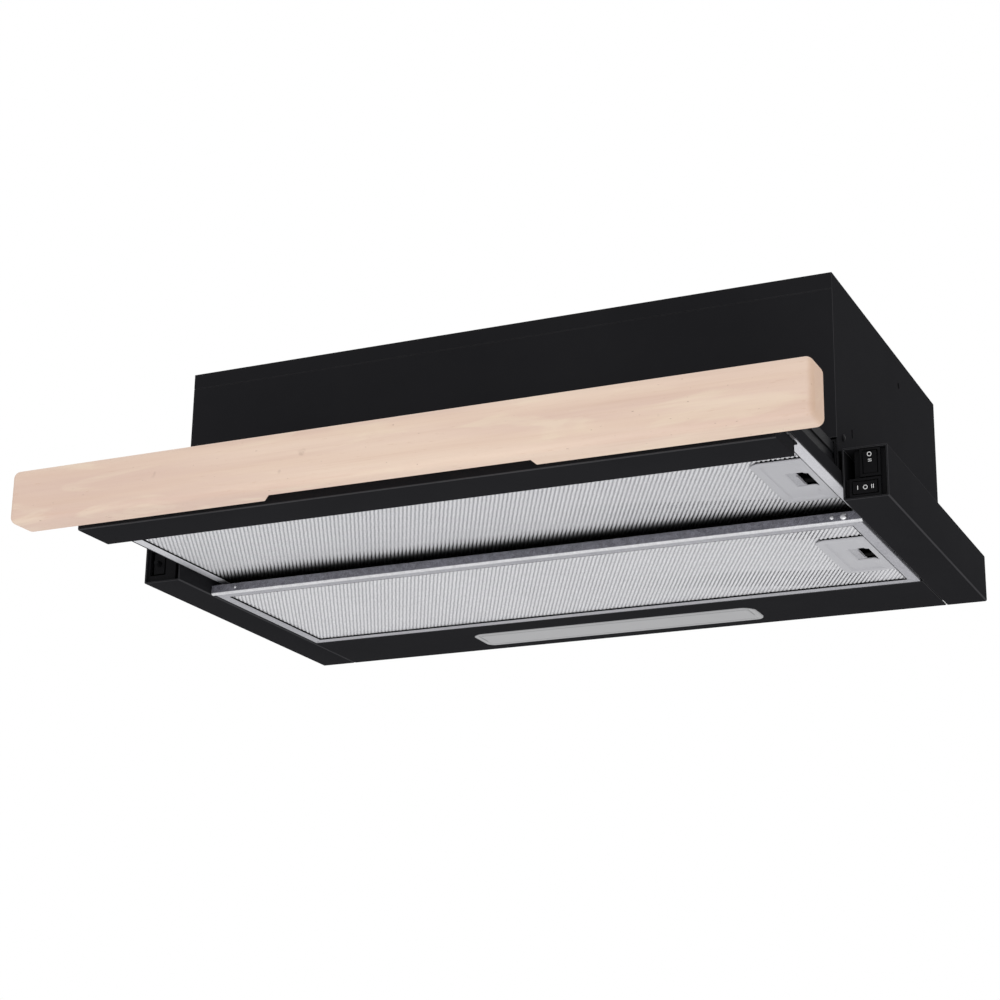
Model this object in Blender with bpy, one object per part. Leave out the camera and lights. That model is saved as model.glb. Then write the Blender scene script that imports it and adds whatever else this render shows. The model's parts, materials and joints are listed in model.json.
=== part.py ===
"""A telescopic built-in range hood: a steel body on a wider lower frame, with a slide-out visor.

Metres, +Z up. The origin lies on the rear face, at mid width, in the plane of the two ledges that bear on
the cabinet's underside. The visor stands pulled out; it slides back along +Y to close.
"""

import math

import bmesh
import bpy
from mathutils import Matrix, Vector

# Overall sizes
hood_width = 0.596
hood_depth = 0.288
body_height = 0.1325
rail_height = 0.0375
rail_width = 0.032
ledge_width = 0.035
sheet = 0.001
rail_sheet = 0.0012
gap = 0.0003
top_lip = 0.0122
front_panel_low = 0.0018

# Visor
visor_travel = 0.145
channel_depth = 0.039
channel_inset = 0.006
channel_ledge_height = 0.0105
channel_end_inset = 0.003
bar_width = 0.597
bar_height = 0.040
bar_thickness = 0.028
bar_radius = 0.0055
bar_drop = 0.0014
bar_gap = 0.002
pull_left = -0.1035
pull_right = 0.105
pull_depth = 0.0145
pull_height = 0.012
pull_slant = 0.013
runner_height = 0.024
runner_thickness = 0.0056
runner_overlap = 0.056
runner_clearance = 0.0005
arm_sheet = 0.0012
skirt_sheet = 0.0008
channel_end_setback = 0.0002
bar_screw_places = (-0.36, -0.12, 0.12, 0.36)

# Grease filters
filter_height = 0.0087
filter_border = 0.0082
filter_sheet = 0.0008
filter_side_gap = 0.002
filter_recess = 0.0002
filter_spacing = 0.0029
mesh_thickness = 0.0012
handle_width = 0.0375
handle_depth = 0.088
handle_shift = -0.0025
handle_radius = 0.008
hole_width = 0.0155
hole_depth = 0.0285
hole_inset = 0.0045
slider_width = 0.012
slider_travel = 0.005
strip_height = 0.0074
strip_sheet = 0.0012
strip_lip = 0.003
strip_gap = 0.0006
channel_strip_gap = 0.0018

# Lamp
lamp_panel_depth = 0.073
lens_width = 0.2487
lens_depth = 0.0375
lens_radius = 0.010
lens_rear_inset = 0.0125
lens_x = -0.0035
lamp_housing_height = 0.014

# Blower
scroll_wall = 0.0016
scroll_growth = 0.022
scroll_half_width = 0.058
scroll_floor = -0.0027
scroll_setback = 0.123
throat_height = 0.0185
blade_clearance = 0.004
blade_thickness = 0.006
blade_count = 20
inlet_radius = 0.038
shaft_radius = 0.004
motor_radius = 0.036
motor_length = 0.046
collar_radius = 0.060
collar_wall = 0.0015
collar_height = 0.032
flap_height = 0.0085
flap_thickness = 0.001
flap_barrel_radius = 0.0013
gland_radius = 0.008
gland_place = (0.190, -0.050)

# Switches
upper_switch_width = 0.0146
upper_switch_height = 0.0202
lower_switch_width = 0.022
lower_switch_height = 0.0134
switch_bezel = 0.0028
switch_body_depth = 0.018
rocker_tilt = math.radians(7)
rocker_gap = 0.0005
plunger_travel = 0.0025

# Places that follow from the sizes
under = -rail_height
front = -hood_depth
top = body_height
rail_out = hood_width / 2
rail_in = rail_out - rail_width
body_x = rail_out - ledge_width
strip_front = front + channel_inset + channel_depth + channel_strip_gap
channel_rear = strip_front - channel_strip_gap - visor_travel
channel_front = channel_rear - channel_depth
bar_rear = front - bar_gap - visor_travel
channel_x = rail_in - channel_end_inset
filter_x = rail_in - filter_side_gap
fixed_filter_front = strip_front + strip_lip + strip_gap / 2
fixed_filter_rear = -lamp_panel_depth - strip_gap
fixed_filter_low = under + filter_recess
visor_filter_low = fixed_filter_low + filter_height + filter_spacing
visor_filter_front = channel_rear + strip_gap
visor_filter_rear = fixed_filter_rear - strip_gap - visor_travel
visor_filter_top = visor_filter_low + filter_height
skirt_top = visor_filter_top + gap + skirt_sheet
skirt_x = filter_x + gap + skirt_sheet
runner_low = skirt_top + runner_clearance
runner_high = runner_low + runner_height
runner_x = body_x - sheet - runner_clearance
arm_x = runner_x - runner_thickness - gap
rear_bar_y = visor_filter_rear + strip_gap
scroll_radius = (top - throat_height - scroll_floor - scroll_wall - scroll_growth * 195 / 285) / 2
fan_z = top - throat_height - scroll_radius
fan_y = front + scroll_setback
fan_radius = scroll_radius - blade_clearance
throat_front = fan_y + scroll_radius * math.cos(math.radians(75))
throat_rear = fan_y + scroll_radius + scroll_growth
collar_y = (throat_front + throat_rear) / 2
lens_y = -lens_rear_inset - lens_depth / 2


# ---------------------------------------------------------------- tools
def clear_scene():
    for thing in list(bpy.data.objects):
        bpy.data.objects.remove(thing, do_unlink=True)


def finish(name, colour, metallic, roughness):
    """A plain material of one colour."""
    made = bpy.data.materials.new(name)
    made.use_nodes = True
    shader = made.node_tree.nodes["Principled BSDF"]
    shader.inputs["Base Color"].default_value = (*colour, 1)
    shader.inputs["Metallic"].default_value = metallic
    shader.inputs["Roughness"].default_value = roughness
    made.diffuse_color = (*colour, 1)
    return made


def solid_from(name, points, faces, material):
    """An object from points and faces, its faces turned outwards."""
    mesh = bpy.data.meshes.new(name)
    mesh.from_pydata([tuple(p) for p in points], [], faces)
    build = bmesh.new()
    build.from_mesh(mesh)
    bmesh.ops.recalc_face_normals(build, faces=build.faces)
    build.to_mesh(mesh)
    build.free()
    thing = bpy.data.objects.new(name, mesh)
    bpy.context.scene.collection.objects.link(thing)
    if material:
        mesh.materials.append(material)
    return thing


def placed(axis, a, b, along):
    """A point of an outline (a, b) at a distance along an axis: X takes (y, z), Y takes (x, z), Z takes (x, y)."""
    return {"X": (along, a, b), "Y": (a, along, b), "Z": (a, b, along)}[axis]


def prism(name, outline, axis, start, end, material=None):
    """An outline carried straight along an axis."""
    n = len(outline)
    points = [placed(axis, a, b, along) for along in (start, end) for a, b in outline]
    faces = [list(range(n)), list(range(2 * n - 1, n - 1, -1))]
    faces += [[i, (i + 1) % n, n + (i + 1) % n, n + i] for i in range(n)]
    return solid_from(name, points, faces, material)


def block(name, low, high, material=None):
    """A box between two corners."""
    outline = [(low[0], low[1]), (high[0], low[1]), (high[0], high[1]), (low[0], high[1])]
    return prism(name, outline, "Z", low[2], high[2], material)


def folded(path, thickness):
    """The outline of a bent sheet: a path, and the same path moved to its left by the thickness."""
    inner = []
    for i, point in enumerate(path):
        here = Vector(point)
        before = (here - Vector(path[i - 1])).normalized() if i else None
        after = (Vector(path[i + 1]) - here).normalized() if i + 1 < len(path) else None
        before, after = before or after, after or before
        middle = (before + after).normalized()
        left = Vector((-middle.y, middle.x))
        inner.append(tuple(here + left * thickness / max(0.2, before.dot(middle))))
    return list(path) + inner[::-1]


def arc(centre, radius, start, end, steps):
    """Points on an arc, with its angles in degrees."""
    turns = [math.radians(start + (end - start) * i / steps) for i in range(steps + 1)]
    return [(centre[0] + radius * math.cos(t), centre[1] + radius * math.sin(t)) for t in turns]


def rounded(low, high, radius, steps=4):
    """A rectangle with round corners."""
    corners = ((high[0], high[1], 0), (low[0], high[1], 90), (low[0], low[1], 180), (high[0], low[1], 270))
    points = []
    for x, y, start in corners:
        inward = (x - math.copysign(radius, x - (low[0] + high[0]) / 2),
                  y - math.copysign(radius, y - (low[1] + high[1]) / 2))
        points += arc(inward, radius, start, start + 90, steps)
    return points


def turned(name, profile, place, axis, segments, material=None):
    """A closed profile of (radius, height) points turned about an axis; a radius of nought is a pole."""
    rings, points = [], []
    for radius, height in profile:
        count = segments if radius > 0 else 1
        rings.append(list(range(len(points), len(points) + count)))
        for k in range(count):
            t = 2 * math.pi * k / segments
            a, b = radius * math.cos(t), radius * math.sin(t)
            offset = {"X": (height, a, b), "Y": (a, height, b), "Z": (a, b, height)}[axis]
            points.append(tuple(p + o for p, o in zip(place, offset)))
    faces = []
    for i, low in enumerate(rings):
        high = rings[(i + 1) % len(rings)]
        for k in range(segments):
            corners = [low[k % len(low)], low[(k + 1) % len(low)], high[(k + 1) % len(high)], high[k % len(high)]]
            corners = list(dict.fromkeys(corners))
            if len(corners) > 2:
                faces.append(corners)
    return solid_from(name, points, faces, material)


def rod(name, place, axis, start, end, radius, segments=16, material=None):
    """A plain cylinder."""
    return turned(name, [(0, start), (radius, start), (radius, end), (0, end)], place, axis, segments, material)


def combine(target, tool, operation):
    """Cuts a tool from a target, or joins it on; the tool itself isn't part of the model."""
    step = target.modifiers.new(tool.name, "BOOLEAN")
    step.operation = operation
    step.object = tool
    step.solver = "EXACT"
    tool.hide_render = True
    tool.display_type = "WIRE"


def cut(target, *tools):
    for tool in tools:
        combine(target, tool, "DIFFERENCE")


def weld(target, *tools):
    for tool in tools:
        combine(target, tool, "UNION")


def smooth(thing, degrees=35):
    thing.data.shade_smooth()
    thing.data.set_sharp_from_angle(angle=math.radians(degrees))


def pivot_on(thing, point):
    """Moves an object's origin to a point, and leaves its shape in place."""
    thing.data.transform(Matrix.Translation(-Vector(point)))
    thing.location = point


def carrier(name, point, things):
    """An empty on a joint's axis that carries the things that move with it."""
    empty = bpy.data.objects.new(name, None)
    empty.empty_display_size = 0.02
    empty.location = point
    bpy.context.scene.collection.objects.link(empty)
    for thing in things:
        thing.parent = empty
        thing.matrix_parent_inverse = Matrix.Translation(-Vector(point))
    return empty


def rivet(name, place, axis_sign, head, shank, length, material, holes):
    """A round-headed rivet along Y; its hole is cut from each sheet that it passes."""
    rise = head * 0.4
    dome = [(head * math.cos(t), rise * math.sin(t)) for t in (0, math.pi / 6, math.pi / 3)]
    profile = [(0, rise)] + [p for p in dome[::-1]] + [(shank, 0), (shank, -length), (0, -length)]
    profile = [(r, axis_sign * (h + gap)) for r, h in profile]
    made = turned(name, profile, place, "Y", 16, material)
    for target in holes:
        cut(target, rod(name + "_hole", place, "Y", -0.004, 0.004, shank + gap))
    smooth(made)
    return made


# ---------------------------------------------------------------- steel body
def make_front_panel(black):
    high = top - top_lip - gap
    panel = block("front_panel", (-body_x, front, front_panel_low), (body_x, front + sheet, high), black)
    for side in (-1, 1):
        inner, outer = sorted((side * (body_x - sheet - 2 * gap), side * (body_x - 2 * sheet - 2 * gap)))
        low = runner_high + 2 * gap
        weld(panel, block("front_return", (inner, front + sheet / 2, low + 0.002), (outer, front + 0.024, high)))
        notch = sorted((side * (arm_x - 0.002), side * (body_x + 0.001)))
        cut(panel, block("arm_notch", (notch[0], front - 0.001, 0), (notch[1], front + 0.003, low)))
    return panel


def make_top_panel(black):
    low = top - top_lip
    path = [(0, low), (0, top), (front, top), (front, low)]
    panel = prism("top_panel", folded(path, sheet), "X", -body_x, body_x, black)
    cut(panel, rod("outlet_hole", (0, collar_y, top), "Z", -0.01, 0.01, collar_radius - collar_wall, 48))
    cut(panel, rod("gland_hole", (*gland_place, top), "Z", -0.01, 0.01, gland_radius + gap, 20))
    return panel


def make_rear_panel(black):
    panel = block("rear_panel", (-body_x, -sheet, under + rail_sheet + gap), (body_x, 0, top - top_lip - gap), black)
    for x in (-0.18, 0.18):
        neck = rounded((x - 0.003, 0.088), (x + 0.003, 0.104), 0.0029)
        cut(panel, prism("keyhole_neck", neck, "Y", -0.01, 0.01))
        cut(panel, rod("keyhole_mouth", (x, 0, 0.088), "Y", -0.01, 0.01, 0.006, 20))
    return panel


def make_side_panel(name, side, black):
    inner, outer = sorted((side * (body_x - sheet), side * body_x))
    panel = block(name, (inner, front + sheet + gap, runner_low), (outer, -sheet - gap, top - sheet - gap), black)
    cut(panel, rod(name + "_fixing", (side * body_x, front + 0.176, 0.109), "X", -0.01, 0.01, 0.0025))
    slot = rounded((front + 0.0375, 0.0205), (front + 0.0405, 0.0275), 0.00145)
    cut(panel, prism(name + "_slot", slot, "X", inner - 0.002, outer + 0.002))
    return panel


def make_side_screw(name, side, panels, steel):
    """A pan-head screw through a side panel into the front panel's return."""
    place = (side * body_x, front + 0.0145, runner_high + 0.0045)
    profile = [(0, 0.0014), (0.0014, 0.0013), (0.0023, 0.0008), (0.0025, 0), (0.0012, 0), (0.0012, -0.008),
               (0, -0.008)]
    made = turned(name, [(r, side * (h + gap)) for r, h in profile], place, "X", 16, steel)
    for panel in panels:
        cut(panel, rod(name + "_hole", place, "X", -0.006, 0.006, 0.0012 + gap, 12))
    smooth(made)
    return made


def make_rail(name, side, black):
    """A box-section side rail, open at its front end, whose top is the ledge under the cabinet."""
    inner, outer = sorted((side * rail_in, side * rail_out))
    rail = block(name, (inner, front, under), (outer, 0, 0), black)
    ledge = sorted((side * (body_x + gap), side * (rail_in + 0.002)))
    weld(rail, block(name + "_ledge", (ledge[0], front, -rail_sheet), (ledge[1], 0, 0)))
    hollow = block(name + "_hollow", (inner + rail_sheet, front - 0.01, under + rail_sheet),
                   (outer - rail_sheet, -rail_sheet, -rail_sheet))
    cut(rail, hollow)
    return rail


def make_lamp_panel(black):
    """The bottom panel behind the filter, with flanges front and rear and a slot for the lens."""
    half = rail_in - gap
    path = [(-lamp_panel_depth, under + 0.0085), (-lamp_panel_depth, under), (0, under)]
    panel = prism("rear_lamp_panel", folded(path, sheet), "X", -half, half, black)
    low = (lens_x - lens_width / 2 - gap, lens_y - lens_depth / 2 - gap)
    high = (lens_x + lens_width / 2 + gap, lens_y + lens_depth / 2 + gap)
    cut(panel, prism("lens_slot", rounded(low, high, lens_radius + gap, 6), "Z", under - 0.01, under + 0.01))
    return panel


def make_cross_strip(zinc):
    """The angle strip in front of the fixed filter; its lip turns back under the filter's front edge."""
    half = rail_in - gap
    path = [(strip_front, under + strip_height), (strip_front, under), (strip_front + strip_lip, under)]
    return prism("cross_strip", folded(path, strip_sheet), "X", -half, half, zinc)


# ---------------------------------------------------------------- lamp
def make_lens(glass):
    low = (lens_x - lens_width / 2, lens_y - lens_depth / 2)
    high = (lens_x + lens_width / 2, lens_y + lens_depth / 2)
    lens = prism("lamp_lens", rounded(low, high, lens_radius, 6), "Z", under - gap, under + sheet + 2 * gap, glass)
    rim = 0.003
    flange = rounded((low[0] - rim, low[1] - rim), (high[0] + rim, high[1] + rim), lens_radius + rim, 6)
    weld(lens, prism("lens_flange", flange, "Z", under + sheet + gap, under + sheet + 0.0015))
    return lens


def make_lamp_housing(white):
    low = under + sheet + 0.0015 + gap
    rim = 0.0045
    x, y = lens_width / 2 + rim, lens_depth / 2 + rim
    housing = block("lamp_housing", (lens_x - x, lens_y - y, low),
                    (lens_x + x, lens_y + y, low + lamp_housing_height), white)
    wall = 0.0012
    cut(housing, block("housing_hollow", (lens_x - x + wall, lens_y - y + wall, low - 0.01),
                       (lens_x + x - wall, lens_y + y - wall, low + lamp_housing_height - wall)))
    return housing


def make_led_board(board_finish):
    """The strip of lamps under the housing's roof."""
    high = under + sheet + 0.0015 + lamp_housing_height - 0.0012
    x = lens_width / 2 - 0.012
    board = block("led_board", (lens_x - x, lens_y - 0.006, high - 0.0016), (lens_x + x, lens_y + 0.006, high),
                  board_finish)
    for k in range(8):
        place = lens_x + (k - 3.5) * 2 * x / 8
        weld(board, block("led", (place - 0.0014, lens_y - 0.0014, high - 0.0024),
                          (place + 0.0014, lens_y + 0.0014, high - 0.001)))
    return board


# ---------------------------------------------------------------- grease filters
def make_filter(name, y_front, y_rear, low, metal, mesh_finish, handle_finish, latch_finish):
    """A cassette: a C-section frame, the expanded mesh, the handle plate and its sprung slider."""
    x, high = filter_x, low + filter_height
    frame = block(name + "_frame", (-x, y_front, low), (x, y_rear, high), metal)
    b, t = filter_border, filter_sheet
    cut(frame, block(name + "_cavity", (-x + t, y_front + t, low + t), (x - t, y_rear - t, high - t)))
    cut(frame, block(name + "_window", (-x + b, y_front + b, low - 0.01), (x - b, y_rear - b, high + 0.01)))

    mid = (y_front + y_rear) / 2 + handle_shift
    mesh_low = low + t + gap
    mesh = block(name + "_mesh", (-x + t + gap, y_front + t + gap, mesh_low),
                 (x - t - gap, y_rear - t - gap, mesh_low + mesh_thickness), mesh_finish)
    right = x - b - gap
    left = right - handle_width
    half = handle_depth / 2
    cut(mesh, block(name + "_mesh_notch", (left - 0.0015, mid - half - 0.0015, low - 0.01),
                    (x + 0.01, mid + half + 0.0015, high + 0.01)))

    outline = ([(right, mid - half), (right, mid + half)]
               + arc((left + handle_radius, mid + half - handle_radius), handle_radius, 90, 180, 5)
               + arc((left + handle_radius, mid - half + handle_radius), handle_radius, 180, 270, 5))
    handle = prism(name + "_handle", outline, "Z", low, low + t, handle_finish)
    hole_right = right - hole_inset
    hole_left = hole_right - hole_width
    cut(handle, block(name + "_hole", (hole_left, mid - hole_depth / 2, low - 0.01),
                      (hole_right, mid + hole_depth / 2, low + 0.01)))

    slide_low = low + t + gap
    shown = hole_left + hole_width * 0.45
    slider = block(name + "_latch", (shown - slider_width, mid - hole_depth / 2 + 0.001, slide_low),
                   (shown, mid + hole_depth / 2 - 0.001, slide_low + 0.001), latch_finish)
    weld(slider, block(name + "_tongue", (shown - 0.002, mid + 0.003, slide_low + 0.0004),
                       (x - t - gap, mid + 0.009, slide_low + 0.0016)))
    weld(slider, block(name + "_finger_rib", (shown - 0.0013, mid - 0.009, low + 0.0001),
                       (shown - 0.0002, mid + 0.009, slide_low + 0.0006)))
    pivot_on(slider, (shown, mid, slide_low))
    return frame, mesh, handle, slider


# ---------------------------------------------------------------- visor
def make_channel(black):
    """The visor's folded front channel: a shelf for the filter, a step for the fingers, and closed ends."""
    t = arm_sheet
    shelf = visor_filter_low - gap - t
    step = under + channel_ledge_height
    face = bar_rear + gap
    path = [(visor_filter_front + 0.006, shelf), (channel_rear, shelf), (channel_rear, under),
            (channel_front, under), (channel_front, step), (face, step), (face, runner_low + 0.0125)]
    channel = prism("visor_channel", folded(path, -t), "X", -channel_x, channel_x, black)
    for side in (-1, 1):
        ends = sorted((side * (channel_x - channel_end_setback), side * (channel_x - t)))
        weld(channel, block("channel_end", (ends[0], channel_front + t / 2, under + t / 2),
                            (ends[1], channel_rear - t / 2, step + t / 2)))
    return channel


def make_wood_bar(wood):
    """The front bar with rounded edges; the finger pull in its lower rear edge has a slanted left end."""
    x, low, y = bar_width / 2, under - bar_drop, bar_rear - bar_thickness
    bar = block("wood_bar", (-x, y, low), (x, bar_rear, low + bar_height), wood)
    edge = bar.modifiers.new("round_edges", "BEVEL")
    edge.width = bar_radius
    edge.segments = 4
    edge.limit_method = "NONE"
    outline = [(pull_left, bar_rear), (pull_left + pull_slant, bar_rear - pull_depth),
               (pull_right, bar_rear - pull_depth), (pull_right, bar_rear + 0.002), (pull_left, bar_rear + 0.002)]
    cut(bar, prism("finger_pull", outline, "Z", low - 0.01, low + pull_height))
    return bar


def make_arm(name, side, black):
    """A side arm: a strip on edge that joins the channel, the runner and the rear bar, and a skirt that reaches
    over the filter and down its side."""
    tab = side * (arm_x - 0.015)
    front_face = bar_rear + gap + arm_sheet + gap
    path = [(tab, front_face), (side * arm_x, front_face), (side * arm_x, rear_bar_y + 0.004)]
    outline = folded(path, side * arm_sheet)
    arm = prism(name, outline, "Z", skirt_top - skirt_sheet / 2, front_panel_low - 2 * gap, black)
    skirt = [(side * (arm_x - arm_sheet), skirt_top), (side * skirt_x, skirt_top), (side * skirt_x, visor_filter_low)]
    weld(arm, prism(name + "_skirt", folded(skirt, -side * skirt_sheet), "Y", front_face, rear_bar_y))
    return arm


def make_rear_bar(black):
    """The bar that joins the arms behind the visor's filter and carries its rear edge on a lip."""
    t, half = arm_sheet, arm_x - arm_sheet - gap
    shelf = visor_filter_low - gap - t
    path = [(rear_bar_y - 0.006, shelf), (rear_bar_y + t, shelf), (rear_bar_y + t, scroll_floor - 0.004)]
    return prism("visor_rear_bar", folded(path, t), "X", -half, half, black)


def make_runner(name, side, steel, dark):
    """A drawer runner: a C-section member on the body and a grooved member on the visor's arm."""
    t = 0.0016
    wall = side * runner_x
    lip = side * (runner_x - runner_thickness)
    path = [(lip, runner_high), (wall, runner_high), (wall, runner_low), (lip, runner_low)]
    outer = prism(name + "_outer", folded(path, -side * t), "Y", front + sheet + 4 * gap, -0.045, steel)

    low, high = runner_low + t + gap, runner_high - t - gap
    inner_x = sorted((side * (runner_x - t - gap), side * (runner_x - runner_thickness + 0.0002)))
    y_front = bar_rear + gap + arm_sheet + gap
    inner = block(name + "_inner", (inner_x[0], y_front, low), (inner_x[1], front + runner_overlap, high), dark)
    mid = (low + high) / 2
    groove = sorted((side * (runner_x - t - gap - 0.0012), side * (runner_x + 0.001)))
    cut(inner, block(name + "_groove", (groove[0], y_front - 0.01, mid - 0.0022),
                     (groove[1], front + runner_overlap + 0.01, mid + 0.0022)))
    return outer, inner


def make_bar_screw(name, place, steel, channel, bar):
    """A screw from behind the channel's face into the wood bar."""
    at = (place, bar_rear + gap + arm_sheet, under + channel_ledge_height + 0.009)
    profile = [(0, 0.0022), (0.0025, 0.0021), (0.004, 0.0012), (0.0042, 0), (0.002, 0), (0.002, -0.017),
               (0, -0.0195)]
    made = turned(name, [(r, h + gap) for r, h in profile], at, "Y", 12, steel)
    cut(channel, rod(name + "_hole", at, "Y", -0.004, 0.004, 0.002 + gap, 12))
    cut(bar, rod(name + "_pilot", at, "Y", -0.0215, 0.004, 0.002 + gap, 12))
    smooth(made)
    return made


# ---------------------------------------------------------------- blower
def scroll_outline(offset):
    """The volute: a spiral from the tongue round to the rear, then straight up to the outlet."""
    start, end, steps = 75, 360, 28
    points = [(throat_front - offset, top - sheet - 2 * gap)]
    for i in range(steps + 1):
        degrees = start + (end - start) * i / steps
        radius = scroll_radius + scroll_growth * i / steps + offset
        t = math.radians(degrees)
        points.append((fan_y + radius * math.cos(t), fan_z + radius * math.sin(t)))
    points.append((throat_rear + offset, top - sheet - 2 * gap))
    return points


def make_scroll(grey):
    """The blower's housing, open upwards, with an inlet in each side."""
    half = scroll_half_width
    housing = prism("scroll_housing", scroll_outline(scroll_wall), "X", -half, half, grey)
    inside = scroll_outline(0)
    inside[0] = (inside[0][0], top + 0.01)
    inside[-1] = (inside[-1][0], top + 0.01)
    cut(housing, prism("scroll_hollow", inside, "X", -half + scroll_wall, half - scroll_wall))
    cut(housing, rod("inlet", (0, fan_y, fan_z), "X", -half - 0.01, half + 0.01, inlet_radius, 40))
    return housing


def make_impeller(dark):
    """A double-inlet drum fan: a middle disc with a hub, and a slotted cage of blades."""
    r, t, w = fan_radius, blade_thickness, scroll_half_width - scroll_wall - 0.004
    bore, hub = shaft_radius + 0.00005, 0.009
    profile = [(bore, -0.009), (hub, -0.009), (hub, -0.001), (r - t, -0.001), (r - t, -w), (r, -w), (r, w),
               (r - t, w), (r - t, 0.001), (hub, 0.001), (hub, 0.009), (bore, 0.009)]
    fan = turned("impeller", profile, (0, fan_y, fan_z), "X", 2 * blade_count, dark)
    points, faces = [], []
    for k in range(blade_count):
        turn = Matrix.Rotation(2 * math.pi * (k + 0.25) / blade_count, 3, "X")
        wide = math.pi * (r - t) / blade_count * 0.62
        for low, high in ((-w + 0.004, -0.003), (0.003, w - 0.004)):
            n = len(points)
            for x in (low, high):
                for y, z in ((r - t - 0.002, -wide), (r + 0.002, -wide), (r + 0.002, wide), (r - t - 0.002, wide)):
                    points.append(turn @ Vector((x, y, z)) + Vector((0, fan_y, fan_z)))
            faces += [[n, n + 1, n + 2, n + 3], [n + 4, n + 7, n + 6, n + 5]]
            faces += [[n + i, n + 4 + i, n + 4 + (i + 1) % 4, n + (i + 1) % 4] for i in range(4)]
    cut(fan, solid_from("blade_slots", points, faces, None))
    smooth(fan)
    pivot_on(fan, (0, fan_y, fan_z))
    return fan


def make_motor(metal, steel, zinc, dark):
    """The motor beside the scroll, its shaft, the bracket that hangs it from the top, and its capacitor."""
    face = scroll_half_width + 0.0095
    ends = 0.006
    profile = [(0, 0), (motor_radius * 0.6, 0), (motor_radius, ends), (motor_radius, motor_length - ends),
               (motor_radius * 0.6, motor_length), (0, motor_length)]
    motor = turned("motor", profile, (face, fan_y, fan_z), "X", 28, metal)
    smooth(motor, 25)
    shaft = rod("motor_shaft", (0, fan_y, fan_z), "X", -0.012, face - gap, shaft_radius, 16, steel)
    smooth(shaft)
    t, x, half = 0.0016, face - 0.0022, 0.017
    path = [(x + 0.030, top - sheet - gap - t), (x, top - sheet - gap - t), (x, fan_z - 0.022)]
    bracket = prism("motor_bracket", folded(path[::-1], -t), "Y", fan_y - half, fan_y + half, zinc)
    cut(bracket, rod("shaft_hole", (x, fan_y, fan_z), "X", -0.01, 0.01, 0.008, 20))
    can = [(0, 0), (0.013, 0), (0.0145, 0.0015), (0.0145, 0.0485), (0.013, 0.05), (0, 0.05)]
    capacitor = turned("run_capacitor", can, (face + 0.060, fan_y - 0.025, fan_z + 0.03), "X", 20, dark)
    smooth(capacitor)
    return motor, shaft, bracket, capacitor


def make_collar(dark):
    """The outlet collar on the top panel, with holes for the flaps' pivots."""
    r, w = collar_radius, collar_wall
    low = top + gap
    profile = [(r - w, 0), (r + 0.008, 0), (r + 0.008, 0.0016), (r, 0.0016), (r, collar_height),
               (r - w, collar_height)]
    collar = turned("outlet_collar", profile, (0, collar_y, low), "Z", 56, dark)
    for side in (-1, 1):
        at = (0, collar_y + side * flap_offset(), top + flap_height)
        cut(collar, rod("flap_pivot_hole", at, "X", -r - 0.01, r + 0.01, flap_barrel_radius + gap, 12))
    smooth(collar, 25)
    return collar


def flap_offset():
    """Half the distance between the two flaps' pivots."""
    return flap_barrel_radius + 0.0009


def make_flap(name, side, dark):
    """One half-round non-return flap; its barrel runs along its straight edge and pivots in the collar."""
    z = top + flap_height
    pivot = collar_y + side * flap_offset()
    r = collar_radius - collar_wall - 0.0012
    start = side * (flap_offset() + 0.0002)
    edge = math.degrees(math.asin(start / r)) if side > 0 else -math.degrees(math.asin(-start / r))
    outline = (arc((0, collar_y), r, edge, 180 - edge, 24) if side > 0
               else arc((0, collar_y), r, 180 - edge, 360 + edge, 24))
    half = flap_thickness / 2
    flap = prism(name, outline, "Z", z - half, z + half, dark)
    weld(flap, rod(name + "_barrel", (0, pivot, z), "X", -r - 0.0022, r + 0.0022, flap_barrel_radius, 10))
    pivot_on(flap, (0, pivot, z))
    return flap


def make_gland(dark):
    """The cable gland in the top panel, open through its middle."""
    r = gland_radius
    profile = [(0.0042, -0.012), (r, -0.012), (r, gap), (r + 0.005, gap), (r + 0.005, 0.004), (r, 0.010),
               (0.0042, 0.010)]
    gland = turned("cable_gland", profile, (*gland_place, top), "Z", 20, dark)
    smooth(gland)
    return gland


def make_terminal_box(white):
    x, y = gland_place
    high = top - 0.0155
    box = block("terminal_box", (x - 0.034, y - 0.022, high - 0.030), (x + 0.034, y + 0.022, high), white)
    cut(box, rod("lead_hole", (x, y, high), "Z", -0.004, 0.004, 0.006, 16))
    return box


# ---------------------------------------------------------------- switches
def rail_span(side):
    """The left and right walls of a rail's hollow, as x values."""
    return sorted((side * (rail_in + rail_sheet), side * (rail_out - rail_sheet)))


def upper_switch_centre():
    x = rail_in + rail_sheet + 0.0108 + upper_switch_width / 2
    return x, -rail_sheet - gap - upper_switch_height / 2


def lower_switch_centre():
    x = rail_in + rail_sheet + 0.0032 + lower_switch_width / 2
    return x, under + rail_sheet + gap + lower_switch_height / 2


def make_switch_frame(black):
    """The plate in the right rail's mouth that the two switches clip into."""
    left, right = rail_span(1)
    low, high = under + rail_sheet + gap, -rail_sheet - gap
    middle = (upper_switch_centre()[1] - upper_switch_height / 2 + lower_switch_centre()[1]
              + lower_switch_height / 2) / 2
    step = upper_switch_centre()[0] - upper_switch_width / 2 - 0.0042
    outline = [(left + gap, low), (right - gap, low), (right - gap, high), (step, high), (step, middle),
               (left + gap, middle)]
    plate = prism("switch_frame", outline, "Y", front + 0.0032, front + 0.0052, black)
    for name, centre, width, height in (
            ("upper", upper_switch_centre(), upper_switch_width, upper_switch_height),
            ("lower", lower_switch_centre(), lower_switch_width, lower_switch_height)):
        x, z = centre
        w, h = width / 2 - 0.001 + gap, height / 2 - 0.001 + gap
        cut(plate, block(name + "_cutout", (x - w, front, z - h), (x + w, front + 0.01, z + h)))
    return plate


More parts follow.
